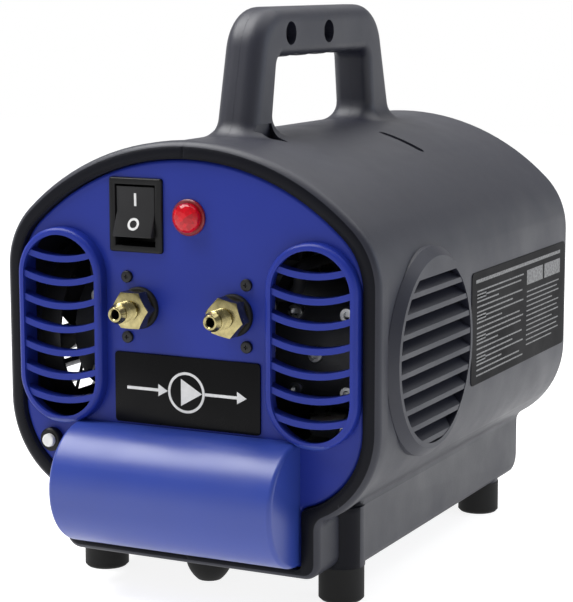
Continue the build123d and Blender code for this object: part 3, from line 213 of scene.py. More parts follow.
def mottle(material, size, spread):
    """Vary the colour a little over the surface."""
    nodes = material.node_tree.nodes
    links = material.node_tree.links
    shader = nodes["Principled BSDF"]
    base = shader.inputs["Base Color"].default_value[:3]
    noise = noise_of(material, size, detail=4.0)
    ramp = nodes.new("ShaderNodeValToRGB")
    dark, light = ramp.color_ramp.elements
    dark.position = NOISE_LOW
    light.position = NOISE_HIGH
    dark.color = (*[c * (1 - spread) for c in base], 1)
    light.color = (*[min(1, c * (1 + spread)) for c in base], 1)
    links.new(noise.outputs["Fac"], ramp.inputs["Fac"])
    links.new(ramp.outputs["Color"], shader.inputs["Base Color"])


def smear(material, size, low, high):
    """Vary the roughness over the surface, as handling does."""
    nodes = material.node_tree.nodes
    links = material.node_tree.links
    noise = noise_of(material, size, detail=5.0)
    span = nodes.new("ShaderNodeMapRange")
    span.inputs["From Min"].default_value = NOISE_LOW
    span.inputs["From Max"].default_value = NOISE_HIGH
    span.inputs["To Min"].default_value = low
    span.inputs["To Max"].default_value = high
    links.new(noise.outputs["Fac"], span.inputs["Value"])
    links.new(span.outputs["Result"], nodes["Principled BSDF"].inputs["Roughness"])


def grain(material, size, depth, stretch=(1, 1, 1)):
    """Give the surface a fine relief."""
    nodes = material.node_tree.nodes
    links = material.node_tree.links
    noise = noise_of(material, size, detail=2.0, stretch=stretch)
    bump = nodes.new("ShaderNodeBump")
    bump.inputs["Distance"].default_value = depth
    links.new(noise.outputs["Fac"], bump.inputs["Height"])
    links.new(bump.outputs["Normal"], nodes["Principled BSDF"].inputs["Normal"])


def round_shading(material, radius):
    """Shade the corners as if they were rounded, under the relief."""
    nodes = material.node_tree.nodes
    rounding = nodes.new("ShaderNodeBevel")
    rounding.inputs["Radius"].default_value = radius
    bump = next(node for node in nodes if node.bl_idname == "ShaderNodeBump")
    material.node_tree.links.new(rounding.outputs["Normal"], bump.inputs["Normal"])


def scaled(colour, factor):
    """A darker or lighter version of a colour."""
    return [c * factor for c in colour]


def lens_finish(colour):
    """Red lens moulded with small cells, some of them darker, and faintly lit from behind."""
    cell_size, cell_depth = 2.2 * MM, 0.22 * MM
    material = finish("red_lens", colour, 0.14, coat=0.2, specular=0.3, ior=1.49)
    nodes = material.node_tree.nodes
    links = material.node_tree.links
    shader = nodes["Principled BSDF"]
    place = nodes.new("ShaderNodeTexCoord")
    cells = nodes.new("ShaderNodeTexVoronoi")
    cells.inputs["Scale"].default_value = 1 / cell_size
    bump = nodes.new("ShaderNodeBump")
    bump.inputs["Distance"].default_value = cell_depth
    ramp = nodes.new("ShaderNodeValToRGB")
    ramp.color_ramp.elements[0].color = (*colour, 1)
    ramp.color_ramp.elements[1].color = (*scaled(colour, 0.35), 1)
    links.new(place.outputs["Object"], cells.inputs["Vector"])
    links.new(cells.outputs["Distance"], bump.inputs["Height"])
    links.new(cells.outputs["Color"], ramp.inputs["Fac"])
    links.new(ramp.outputs["Color"], shader.inputs["Base Color"])
    links.new(bump.outputs["Normal"], shader.inputs["Normal"])
    shader.inputs["Emission Color"].default_value = (*colour, 1)
    shader.inputs["Emission Strength"].default_value = 0.22
    return material


def make_finishes(settings):
    """All finishes by name."""
    made = {
        "housing": finish(
            "charcoal_plastic", settings.housing, 0.48, specular=0.45,
            tone=(60 * MM, 0.06), wear=(35 * MM, 0.43, 0.54), relief=(0.9 * MM, 0.05 * MM),
        ),
        # housing plastic at 0.3 of its colour, for the forward faces of the rim and the front posts: painted
        # shade
        "rim": finish(
            "painted_shade_plastic", scaled(settings.housing, 0.3), 0.36, specular=0.11,
            tone=(60 * MM, 0.06), wear=(35 * MM, 0.32, 0.42), relief=(0.9 * MM, 0.04 * MM),
        ),
        # lighter and paler blue than the panel; part of that is painted sheen
        "drum": finish(
            "drum_plastic_with_painted_sheen", settings.drum, 0.34,
            tone=(45 * MM, 0.04), wear=(30 * MM, 0.3, 0.38), relief=(1.2 * MM, 0.015 * MM),
        ),
        "panel": finish(
            "blue_plastic", settings.panel, 0.36, specular=0.2,
            tone=(45 * MM, 0.05), wear=(30 * MM, 0.30, 0.40), relief=(1.6 * MM, 0.012 * MM),
        ),
        "black": finish(
            "black_nylon", settings.black, 0.38, specular=0.22,
            wear=(12 * MM, 0.32, 0.45), relief=(0.5 * MM, 0.015 * MM),
        ),
        "rocker": finish(
            "rocker_nylon", scaled(settings.black, 2.2), 0.42, specular=0.35,
            wear=(8 * MM, 0.36, 0.5), relief=(0.5 * MM, 0.02 * MM),
        ),
        "white": finish("white_nylon", (0.72, 0.72, 0.69), 0.36, tone=(5 * MM, 0.04)),
        "nylon": finish("fan_nylon", (0.014, 0.014, 0.015), 0.42, wear=(14 * MM, 0.36, 0.5)),
        "plate": finish(
            "black_plate", (0.002, 0.002, 0.0025), 0.34, specular=0.1,
            tone=(20 * MM, 0.1), wear=(18 * MM, 0.25, 0.36),
        ),
        "vinyl": finish(
            "black_vinyl", (0.004, 0.004, 0.005), 0.5, specular=0.03,
            wear=(30 * MM, 0.38, 0.5), relief=(3 * MM, 0.01 * MM),
        ),
        "print": finish("pale_print", settings.print, 0.5, tone=(4 * MM, 0.08)),
        "faint_print": finish(
            "grey_print", scaled(settings.print, 0.3), 0.5, specular=0.1, tone=(1.4 * MM, 0.45)
        ),
        "lens": lens_finish(settings.lens),
        # lens red at 0.35 of its colour on the lamp flange: the red of the moulding, darkened as painted
        # shade round the lens
        "red_flange_in_painted_shade": finish("red_flange_in_painted_shade", scaled(settings.lens, 0.35), 0.3, tone=(4 * MM, 0.15)),
        "brass": finish(
            "brass", settings.brass, 0.18, metallic=1.0,
            tone=(4 * MM, 0.28), wear=(4 * MM, 0.14, 0.28), relief=(0.4 * MM, 0.01 * MM, (1, 6, 1)),
        ),
        # near-black lining for the bores of the fittings: painted shadow inside the bore
        "soot": finish("bore_shadow", (0.004, 0.004, 0.004), 0.8, specular=0.1, tone=(2 * MM, 0.2)),
        "steel": finish(
            "zinc_plated_steel", (0.56, 0.57, 0.58), 0.32, metallic=1.0,
            tone=(9 * MM, 0.06), wear=(7 * MM, 0.25, 0.42),
        ),
        "dark_steel": finish(
            "black_oxide_steel", (0.02, 0.02, 0.022), 0.35, metallic=0.7, wear=(3 * MM, 0.3, 0.45)
        ),
        "laminate": finish(
            "steel_laminations", (0.2, 0.2, 0.21), 0.4, metallic=1.0,
            relief=(0.5 * MM, 0.05 * MM, (8, 1, 1)),
        ),
        "alloy": finish(
            "cast_alloy", (0.5, 0.5, 0.51), 0.45, metallic=1.0,
            tone=(12 * MM, 0.08), relief=(1.2 * MM, 0.05 * MM),
        ),
        # near-black, so that the crankcases and cylinders seen through the grilles read as the shade inside
        # the housing: painted shade
        "casting": finish(
            "casting_dark_as_inner_shade", (0.02, 0.021, 0.025), 0.5,
            tone=(14 * MM, 0.1), wear=(12 * MM, 0.42, 0.6), relief=(1.0 * MM, 0.07 * MM),
        ),
        "enamel": finish(
            "black_enamel", (0.016, 0.016, 0.018), 0.36, coat=0.2,
            wear=(16 * MM, 0.3, 0.45), relief=(1.5 * MM, 0.02 * MM),
        ),
        "powder": finish(
            "black_powder_coat", (0.018, 0.018, 0.019), 0.5,
            wear=(30 * MM, 0.45, 0.58), relief=(0.7 * MM, 0.06 * MM),
        ),
        "fins": finish(
            "rolled_aluminium", (0.66, 0.67, 0.68), 0.3, metallic=1.0, wear=(10 * MM, 0.24, 0.4)
        ),
        "copper": finish(
            "drawn_copper", (0.72, 0.36, 0.22), 0.28, metallic=1.0,
            tone=(9 * MM, 0.15), wear=(6 * MM, 0.22, 0.42),
        ),
        # near-black, so that the suction and return lines seen through the right grille read as the shade
        # inside the housing: painted shade
        "shaded_line": finish(
            "line_dark_as_inner_shade", (0.01, 0.01, 0.011), 0.75, specular=0.3,
            tone=(8 * MM, 0.15), relief=(0.6 * MM, 0.08 * MM),
        ),
        "rubber": finish(
            "black_rubber", (0.008, 0.008, 0.008), 0.66, specular=0.22,
            tone=(14 * MM, 0.12), relief=(0.8 * MM, 0.04 * MM),
        ),
    }
    round_shading(made["rim"], 5 * MM)
    return made


finishes = {}  # filled by the first operator

# the finish that each solid gets, and keeps where a piece stands for it
FINISH_NODES = {
    "housing": "housing_left housing_right",
    "panel": "front_panel",
    "black": "switch_body switch_rocker lamp_nut breaker_body power_inlet",
    "white": "breaker_button",
    "nylon": "fan_left fan_right fan_shroud_left fan_shroud_right",
    "plate": "nameplate",
    "vinyl": "side_label",
    "lens": "lamp_lens",
    "red_flange_in_painted_shade": "lamp_body",
    "brass": "inlet_fitting outlet_fitting pressure_switch",
    "steel": "switch_terminals breaker_nut foot_screws power_inlet_pins power_inlet_screws chassis_plate "
    "motor_cradle drive_shaft shaft_bearings head_bolts condenser_brackets capacitor_clamp",
    "dark_steel": "pan_screws sheet_screws",
    "laminate": "stator_core rotor_core",
    "alloy": "manifold_block head_left head_right",
    "casting": "crankcase_left crankcase_right cylinder_left cylinder_right",
    "enamel": "motor_shell",
    "powder": "rear_panel",
    "fins": "condenser_core capacitor",
    "copper": "stator_windings condenser_bends crossover_line discharge_lines",
    "shaded_line": "suction_line return_line",
    "rubber": "port_washers motor_isolators foot_front_left foot_front_right foot_rear_left "
    "foot_rear_right centre_bumper",
}
NODE_FINISH = {node: name for name, nodes in FINISH_NODES.items() for node in nodes.split()}


# ---------------------------------------------------------------- mesh helpers
def body_of(node):
    """Body that a node rides on."""
    for body, members in frame["record"]["behaviour"]["bodies"].items():
        if node in members:
            return body
    raise RuntimeError(f"no body holds {node}")


def shade(bm, angle):
    """Smooth shading with creases sharper than angle kept."""
    for face in bm.faces:
        face.smooth = True
    for edge in bm.edges:
        edge.smooth = len(edge.link_faces) == 2 and edge.calc_face_angle(0.0) < angle


def piece(bm, name, node, materials, replaced=(), crease=math.radians(32), recalc=True):
    """Turn a bmesh into a piece that rides with a node's body, with the given finishes, and hide the solids
    it replaces.
    """
    if recalc:
        bmesh.ops.recalc_face_normals(bm, faces=bm.faces)
    shade(bm, crease)
    mesh = bpy.data.meshes.new(name)
    bm.to_mesh(mesh)
    bm.free()
    for material in materials.split():
        mesh.materials.append(finishes[material])
    made = bpy.data.objects.new(name, mesh)
    bpy.context.scene.collection.objects.link(made)
    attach(made, body_of(node))
    if replaced:
        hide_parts(*replaced)


def merged(node):
    """Bmesh of a node's solid with its loose triangles joined and flat areas cleared."""
    bm = bmesh.new()
    bm.from_mesh(frame["nodes"][node].data)
    bmesh.ops.remove_doubles(bm, verts=bm.verts, dist=SAME_POINT)
    bmesh.ops.dissolve_limit(
        bm, angle_limit=FLAT, use_dissolve_boundaries=False, verts=bm.verts, edges=bm.edges
    )
    return bm


def sharp(bm, where=lambda point: True, angle=math.radians(40)):
    """Outward corners steeper than angle whose middle passes the test."""
    return [
        edge
        for edge in bm.edges
        if len(edge.link_faces) == 2
        and edge.is_convex
        and edge.calc_face_angle(0.0) > angle
        and where((edge.verts[0].co + edge.verts[1].co) / 2)
    ]


def soften(bm, edges, width, segments=2):
    """Round edges."""
    bmesh.ops.bevel(
        bm, geom=edges, offset=width, affect="EDGES", segments=segments, profile=0.5, material=-1,
        clamp_overlap=True,
    )


def dressed(nodes, width=0.0, where=lambda point: True, crease=math.radians(30)):
    """Smooth copies of solids that keep their shape, with corners rounded where a width is given."""
    for node in nodes:
        bm = merged(node)
        if width:
            soften(bm, sharp(bm, where), width)
        piece(bm, f"{node}_dressed", node, NODE_FINISH[node], (node,), crease=crease, recalc=False)


def turned(bm, profile, centre, steps, turn=2 * math.pi, rise=0.0):
    """Spin (radius, y) points about the line along Y through centre."""
    verts = [bm.verts.new((centre.x + radius, y, centre.z)) for radius, y in profile]
    edges = [bm.edges.new(pair) for pair in zip(verts, verts[1:])]
    whole = turn == 2 * math.pi and rise == 0
    bmesh.ops.spin(
        bm, geom=verts + edges, cent=(centre.x, 0, centre.z), axis=(0, 1, 0), dvec=(0, rise / steps, 0),
        angle=turn, steps=steps, use_merge=whole,
    )
    bmesh.ops.remove_doubles(bm, verts=bm.verts, dist=SAME_RING)


def flat_ring(bm, centre, inner, outer, back, front, steps):
    """Add a flat ring between two radii and two faces."""
    profile = [(inner, back), (inner, front), (outer, front), (outer, back), (inner, back)]
    turned(bm, profile, centre, steps)


def close_ends(bm):
    """Cap every open loop of edges."""
    bmesh.ops.holes_fill(bm, edges=[edge for edge in bm.edges if len(edge.link_faces) == 1])


def thread(bm, centre, root, crest, start, length, pitch):
    """Wind a closed thread rib on a root, from start towards the front."""
    lap = 0.05 * MM
    steps_per_turn = 40
    turns = length / pitch
    # radius, and place across the rib as a share of the pitch
    rib = [(root - lap, 0.06), (root, 0.10), (crest, 0.40), (crest, 0.50), (root, 0.80), (root - lap, 0.84)]
    rib.append(rib[0])
    turned(
        bm, [(radius, start - share * pitch) for radius, share in rib], centre,
        int(turns * steps_per_turn), turn=turns * 2 * math.pi, rise=-(turns - 1) * pitch,
    )
    close_ends(bm)


def hexagon(centre, corner, back, length, turn):
    """Bmesh of a hexagonal prism along Y whose back face is at back."""
    bm = bmesh.new()
    lie_down = Matrix.Rotation(turn + math.radians(30), 4, "Y") @ Matrix.Rotation(QUARTER_TURN, 4, "X")
    bmesh.ops.create_cone(
        bm, cap_ends=True, segments=6, radius1=corner, radius2=corner, depth=length,
        matrix=Matrix.Translation((centre.x, back - length / 2, centre.z)) @ lie_down,
    )
    return bm


def box_piece(bm, low, high):
    """Add a box between two corners and return its verts."""
    low, high = Vector(low), Vector(high)
    made = bmesh.ops.create_cube(bm, size=1)
    bmesh.ops.scale(bm, vec=high - low, verts=made["verts"])
    bmesh.ops.translate(bm, vec=(low + high) / 2, verts=made["verts"])
    return made["verts"]


def carved(bm, tool, operation="DIFFERENCE"):
    """Cut one bmesh with another, or keep what they share."""
    holders = []
    for part in (bm, tool):
        bmesh.ops.recalc_face_normals(part, faces=part.faces)
        mesh = bpy.data.meshes.new("blank")
        part.to_mesh(mesh)
        part.free()
        holder = bpy.data.objects.new("blank", mesh)
        bpy.context.scene.collection.objects.link(holder)
        holders.append(holder)
    cut = holders[0].modifiers.new("cut", "BOOLEAN")
    cut.operation = operation
    cut.solver = "EXACT"
    cut.object = holders[1]
    ready = holders[0].evaluated_get(bpy.context.evaluated_depsgraph_get())
    left = bmesh.new()
    left.from_mesh(ready.to_mesh())
    for holder in holders:
        bpy.data.objects.remove(holder)
    return left


def recess_punch(centre, reach, width, depth, turn):
    """One arm of a cross recess, shorter at its bottom, as a punch along Y."""
    bottom_share = 0.45
    bm = bmesh.new()
    for vert in box_piece(bm, (-width / 2, -depth, -reach), (width / 2, depth, reach)):
        if vert.co.y > 0:
            vert.co.z *= bottom_share
    bmesh.ops.rotate(bm, verts=bm.verts, cent=(0, 0, 0), matrix=Matrix.Rotation(turn, 3, "Y"))
    bmesh.ops.translate(bm, verts=bm.verts, vec=centre)
    return bm


# ------------------------------------------------------------------ operators
class MACHINE_OT_finishes(bpy.types.Operator):
    """Make the finishes and put them on every solid"""

    bl_idname = "machine.finishes"
    bl_label = "Finishes"

    def execute(self, context):
        finishes.update(make_finishes(context.scene.machine_finish))
        for node, obj in frame["nodes"].items():
            material = finishes[NODE_FINISH[node]]
            if not obj.material_slots:
                obj.data.materials.append(material)
            for place in obj.material_slots:
                place.material = material
        return {"FINISHED"}


class MACHINE_OT_mouldings(bpy.types.Operator):
    """Housing halves with a fine seam and painted shade on the rim and on the front of the posts, and the
    front panel with its satin drum
    """

    bl_idname = "machine.mouldings"
    bl_label = "Mouldings"

    def execute(self, context):
        seam = context.scene.machine_size.seam
        crease = math.radians(28)
        seam_corner = math.radians(60)
        # the rim faces straight forwards, the post above a front foot only roughly; these faces take the
        # housing plastic at 0.3 of its colour, which is painted shade
        rim_depth, rim_facing = 12 * MM, -0.9
        post_margin, post_height, post_facing = 1 * MM, 60 * MM, -0.25
        for node in ("housing_left", "housing_right"):
            bm = merged(node)
            soften(bm, sharp(bm, lambda point: abs(point.x) < TOUCH, seam_corner), seam, 1)
            bm.normal_update()
            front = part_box(node)[0].y + rim_depth
            low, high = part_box(node.replace("housing", "foot_front"))
            post_reach = (high.x - low.x) / 2 + post_margin
            for face in bm.faces:
                spot = face.calc_center_median()
                on_rim = face.normal.y < rim_facing and spot.y < front
                over_foot = (spot - (low + high) / 2).to_2d().length < post_reach
                on_post = over_foot and face.normal.y < post_facing and spot.z < post_height
                face.material_index = int(on_rim or on_post)
            piece(bm, f"{node}_moulding", node, "housing rim", (node,), crease=crease, recalc=False)

        drum_height, drum_start = 70 * MM, 0.2 * MM
        bm = merged("front_panel")
        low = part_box("front_panel")[0]
        face_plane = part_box("nameplate")[1].y
        for face in bm.faces:
            spot = face.calc_center_median()
            in_front = spot.y < face_plane - drum_start
            face.material_index = int(in_front and spot.z < low.z + drum_height)
        piece(
            bm, "front_panel_moulding", "front_panel", "panel drum", ("front_panel",), crease=crease,
            recalc=False,
        )
        return {"FINISHED"}


class MACHINE_OT_switch(bpy.types.Operator):
    """Bezel and rocker, with the on and off marks"""

    bl_idname = "machine.switch"
    bl_label = "Rocker switch"

    def execute(self, context):
        sizes = context.scene.machine_size
        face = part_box("switch_body")[0].y
        bezel_depth, bezel_round = 1.5 * MM, 0.35 * MM
        bm = merged("switch_body")
        soften(bm, sharp(bm, lambda point: point.y < face + bezel_depth), bezel_round)
        piece(bm, "switch_bezel", "switch_body", "black", ("switch_body",), recalc=False)

        joints = frame["record"]["behaviour"]["joints"]
        pivot = Vector(next(joint["pos_m"] for joint in joints if joint["name"] == "rocker_tilt"))
        paddle_start, paddle_round = 3 * MM, 0.7 * MM
        bm = merged("switch_rocker")
        soften(bm, sharp(bm, lambda point: point.y < pivot.y - paddle_start), paddle_round, 3)
        piece(bm, "rocker_paddle", "switch_rocker", "rocker", ("switch_rocker",), recalc=False)

        # marks lie on the two sloping faces of the paddle, half way out to its edges
        half = sizes.rocker_half
        edge_stand = 12.0 * MM
        mark_share = 0.48
        buried, proud = 0.05 * MM, 0.12 * MM
        inner, outer, half_bar = 2.1 * MM, 3.4 * MM, 0.7 * MM
        slope = math.atan2(sizes.rocker_dish, half)
        tilt = Matrix.Rotation(-sizes.rocker_tilt, 4, "X")
        for name, side in (("on_mark", 1), ("off_mark", -1)):
            bm = bmesh.new()
            if side > 0:
                bar = box_piece(bm, (-half_bar, -proud, -outer), (half_bar, buried, outer))
                soften(bm, list({e for v in bar for e in v.link_edges}), 0.05 * MM, 1)
            else:
                flat_ring(bm, ORIGIN, inner, outer, buried, -proud, sizes.turn_steps)
            lean = Matrix.Rotation(side * slope, 4, "X")
            place = Matrix.Translation((0, sizes.rocker_dish / 2 - edge_stand, side * half * mark_share))
            bmesh.ops.transform(bm, matrix=Matrix.Translation(pivot) @ tilt @ place @ lean, verts=bm.verts)
            piece(bm, name, "switch_rocker", "print")
        return {"FINISHED"}


class MACHINE_OT_lamp(bpy.types.Operator):
    """Domed pilot lens on its flange"""

    bl_idname = "machine.lamp"
    bl_label = "Pilot lamp"

    def execute(self, context):
        sizes = context.scene.machine_size
        low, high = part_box("lamp_lens")
        centre = (low + high) / 2
        radius, stand = sizes.lens_radius, sizes.lens_stand
        rim, chamfer, hollow = 1.6 * MM, 0.3 * MM, 0.4 * MM
        bows = 12
        profile = [(0.6 * radius, high.y - hollow), (radius - chamfer, high.y)]
        profile += [(radius, high.y - chamfer), (radius, high.y - rim)]
        for step in range(1, bows + 1):
            angle = QUARTER_TURN * step / bows
            profile.append((radius * math.cos(angle), high.y - rim - (stand - rim) * math.sin(angle)))
        bm = bmesh.new()
        turned(bm, profile, centre, sizes.turn_steps)
        close_ends(bm)
        piece(bm, "lamp_dome", "lamp_lens", "lens", ("lamp_lens",))
        dressed(("lamp_body", "lamp_nut"))
        return {"FINISHED"}


class MACHINE_OT_breaker(bpy.types.Operator):
    """Collar, push button and nut of the breaker"""

    bl_idname = "machine.breaker"
    bl_label = "Breaker"

    def execute(self, context):
        dressed(("breaker_body", "breaker_nut"))
        low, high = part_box("breaker_button")
        centre = (low + high) / 2
        radius = (high.x - low.x) / 2
        corner, dish = 0.7 * MM, 0.35 * MM
        bm = bmesh.new()
        turned(bm, [
            (0, high.y), (radius, high.y), (radius, low.y + corner),
            (radius - 0.2 * MM, low.y + 0.25 * MM), (radius - corner, low.y),
            (0.55 * radius, low.y + 0.1 * MM), (0, low.y + dish),
        ], centre, context.scene.machine_size.turn_steps)
        piece(bm, "breaker_cap", "breaker_button", "white", ("breaker_button",))
        return {"FINISHED"}


class MACHINE_OT_ports(bpy.types.Operator):
    """Two brass flare fittings, with turned hexagon, thread and cone nose"""

    bl_idname = "machine.ports"
    bl_label = "Port fittings"

    def execute(self, context):
        sizes = context.scene.machine_size
        washer_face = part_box("port_washers")[0].y
        # radii along the fitting, and the lengths of its thread and hexagon
        shank, thread_radius, nose, bore = 5.9 * MM, 5.55 * MM, 3.85 * MM, 2.4 * MM
        thread_length, thread_end, hex_length = 12 * MM, 1.2 * MM, 9 * MM
        countersink = 0.6 * MM
        across_flats = 19
        hex_corner = across_flats / math.sqrt(3) * MM
        # radii of the blank that rounds the hexagon's corners, at its back, middle and front
        blank_back, blank, blank_front = 10.2 * MM, 11.3 * MM, 9.1 * MM
        lap = 0.1 * MM
        root = thread_radius - sizes.thread_depth
        hex_front = washer_face - hex_length
        thread_front = hex_front - thread_length
        for node, turn in (("inlet_fitting", 0.0), ("outlet_fitting", sizes.outlet_turn)):
            low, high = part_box(node)
            centre = (low + high) / 2
            turned_blank = bmesh.new()
            turned(turned_blank, [
                (0, washer_face + lap), (blank_back, washer_face + lap), (blank, washer_face - 0.7 * MM),
                (blank, hex_front + 1.0 * MM), (blank_front, hex_front - lap), (0, hex_front - lap),
            ], centre, sizes.turn_steps)
            prism = hexagon(centre, hex_corner, washer_face, hex_length, turn)
            bm = carved(prism, turned_blank, "INTERSECT")
            # core: shank, root of the thread and cone nose, then the bore
            turned(bm, [
                (bore, high.y), (shank, high.y), (shank, washer_face - 0.2 * MM), (root, washer_face - MM),
                (root, hex_front - 0.2 * MM), (root, thread_front + 0.9 * MM),
                (thread_radius - 0.4 * MM, thread_front + 0.35 * MM),
                (thread_radius - 0.6 * MM, thread_front), (nose, low.y + 0.2 * MM),
                (nose - 0.3 * MM, low.y), (bore + 0.5 * MM, low.y), (bore, low.y + countersink),
            ], centre, sizes.turn_steps)
            turned(bm, [(bore, low.y + countersink), (bore, high.y)], centre, sizes.turn_steps)
            # faces of the bore take the second, near-black finish: painted shadow
            inside = bore + 0.05 * MM
            for face in bm.faces:
                if all(math.hypot(v.co.x - centre.x, v.co.z - centre.z) < inside for v in face.verts):
                    face.material_index = 1
            thread(
                bm, centre, root, thread_radius, hex_front - lap, thread_length - thread_end,
                sizes.thread_pitch,
            )
            piece(bm, f"{node}_turned", node, "brass soot", (node,), crease=math.radians(30))
        dressed(("port_washers", "manifold_block", "pressure_switch"), 0.3 * MM)
        return {"FINISHED"}


class MACHINE_OT_screws(bpy.types.Operator):
    """Pan heads with cross recesses at the manifold, and softened edges on the other screws"""

    bl_idname = "machine.screws"
    bl_label = "Screws"

    def execute(self, context):
        sizes = context.scene.machine_size
        head_face, head_round = 0.1 * MM, 0.6 * MM
        arm_reach, arm_width = 1.7 * MM, 0.6 * MM
        # the two arms differ in depth, so that their bottoms aren't in one plane
        arms = ((0, 1.0 * MM), (QUARTER_TURN, 0.95 * MM))
        bm = merged("pan_screws")
        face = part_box("pan_screws")[0].y
        heads = [vert.co for vert in bm.verts if vert.co.y < face + head_face]
        reach = max(spot.x for spot in heads) - sizes.pan_head
        low = min(spot.z for spot in heads) + sizes.pan_head
        high = max(spot.z for spot in heads) - sizes.pan_head
        soften(bm, sharp(bm, lambda point: point.y < face + head_face), head_round, 3)
        for place in ((x, face, z) for x in (-reach, reach) for z in (low, high)):
            for turn, depth in arms:
                bm = carved(bm, recess_punch(place, arm_reach, arm_width, depth, turn))
        piece(bm, "pan_screws_crossed", "pan_screws", "dark_steel", ("pan_screws",))
        dressed(("sheet_screws", "foot_screws", "power_inlet_screws"), 0.25 * MM)
        return {"FINISHED"}


class MACHINE_OT_plates(bpy.types.Operator):
    """Plain nameplate with a pump sign, and plain ruled side label"""

    bl_idname = "machine.plates"
    bl_label = "Plates"

    def execute(self, context):
        self.nameplate(context.scene.machine_size.turn_steps)
        self.side_label()
        return {"FINISHED"}

    def nameplate(self, steps):
        """Plate with a triangle in a ring between two flow arrows."""
        bm = merged("nameplate")
        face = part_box("nameplate")[0].y
        soften(bm, sharp(bm, lambda point: point.y < face + TOUCH), 0.3 * MM)
        piece(bm, "nameplate_bare", "nameplate", "plate", ("nameplate",), recalc=False)
        low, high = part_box("nameplate")
        centre = (low + high) / 2
        proud, buried = 0.04 * MM, 0.02 * MM
        upright = Matrix.Rotation(QUARTER_TURN, 4, "X") @ Matrix.Rotation(-QUARTER_TURN, 4, "Z")
        ring_inner, ring_outer, triangle = 9.6 * MM, 11.0 * MM, 8.4 * MM
        line_half, arrowhead = 0.8 * MM, 3.8 * MM
        bm = bmesh.new()
        flat_ring(bm, centre, ring_inner, ring_outer, face + buried, face - proud, steps)

        def arrow(x, size):
            """Triangle that points to the right."""
            bmesh.ops.create_cone(
                bm, cap_ends=True, segments=3, radius1=size, radius2=size, depth=proud + buried,
                matrix=Matrix.Translation((x, face - (proud - buried) / 2, centre.z)) @ upright,
            )

        def line(start, end):
            """Flow line at the height of the plate's middle."""
            box_piece(
                bm, (start, face - proud, centre.z - line_half), (end, face + buried, centre.z + line_half)
            )

        arrow(1.0 * MM, triangle)
        line(-36.0 * MM, -16.9 * MM)
        line(11.1 * MM, 30.1 * MM)
        arrow(-15.0 * MM, arrowhead)
        arrow(32.0 * MM, arrowhead)
        piece(bm, "nameplate_sign", "nameplate", "print")

    def side_label(self):
        """Vinyl label with two columns of plain rules under a bar and two blocks."""
        low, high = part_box("side_label")
        bm = merged("side_label")
        soften(bm, sharp(bm, lambda point: point.x > high.x - TOUCH), 0.1 * MM, 1)
        piece(bm, "side_label_bare", "side_label", "vinyl", ("side_label",), recalc=False)
        buried, proud = 0.02 * MM, 0.03 * MM
        bm = bmesh.new()

        def rule(y0, z0, y1, z1):
            """Rule between two corners in millimetres from the label's low corner."""
            box_piece(
                bm, (high.x - buried, low.y + y0 * MM, low.z + z0 * MM),
                (high.x + proud, low.y + y1 * MM, low.z + z1 * MM),
            )

        right_edge = 150
        rule(6, 57.6, right_edge, 59.6)
        # left column, with a short heavy rule at every fourth row
        left, left_top, pitch, line, heavy_end = 8, 53.4, 3.0, 0.9, 22
        lengths = (76, 72, 34, 74, 58, 76, 40, 70)
        for row in range(17):
            top = left_top - row * pitch
            rule(left, top - line, left + lengths[row % len(lengths)], top)
            if row % 4 == 1:
                rule(left, top - 2 * line, heavy_end, top + line)
        # right column, under two blocks
        right, right_top, pitch, line = 90, 41.8, 2.9, 0.8
        lengths = (58, 55, 58, 46)
        for row in range(12):
            top = right_top - row * pitch
            rule(right, top - line, right + lengths[row % len(lengths)], top)
        block_low, block_high = 45.6, 54.4
        rule(right, block_low, 118, block_high)
        rule(121, block_low, right_edge, block_high)
        piece(bm, "side_label_rules", "side_label", "faint_print")


class MACHINE_OT_feet(bpy.types.Operator):
    """Rubber feet and the middle bumper"""

    bl_idname = "machine.feet"
    bl_label = "Feet"

    def execute(self, context):
        dressed(("foot_front_left", "foot_front_right", "foot_rear_left", "foot_rear_right", "centre_bumper"))
        return {"FINISHED"}


class MACHINE_OT_rear(bpy.types.Operator):
    """Slotted rear panel and power inlet"""

    bl_idname = "machine.rear"
    bl_label = "Rear panel"

    def execute(self, context):
        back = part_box("rear_panel")[1].y
        dressed(("rear_panel",), 0.3 * MM, lambda point: point.y > back - TOUCH, crease=math.radians(8))
        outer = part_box("power_inlet")[1].y
        dressed(("power_inlet",), 0.5 * MM, lambda point: point.y > outer - TOUCH)
        dressed(("power_inlet_pins", "switch_terminals"), 0.15 * MM)
        return {"FINISHED"}


class MACHINE_OT_fans(bpy.types.Operator):
    """Fans and shrouds behind the side covers"""

    bl_idname = "machine.fans"
    bl_label = "Fans"

    def execute(self, context):
        dressed(("fan_left", "fan_right", "fan_shroud_left", "fan_shroud_right"), 0.25 * MM)
        return {"FINISHED"}


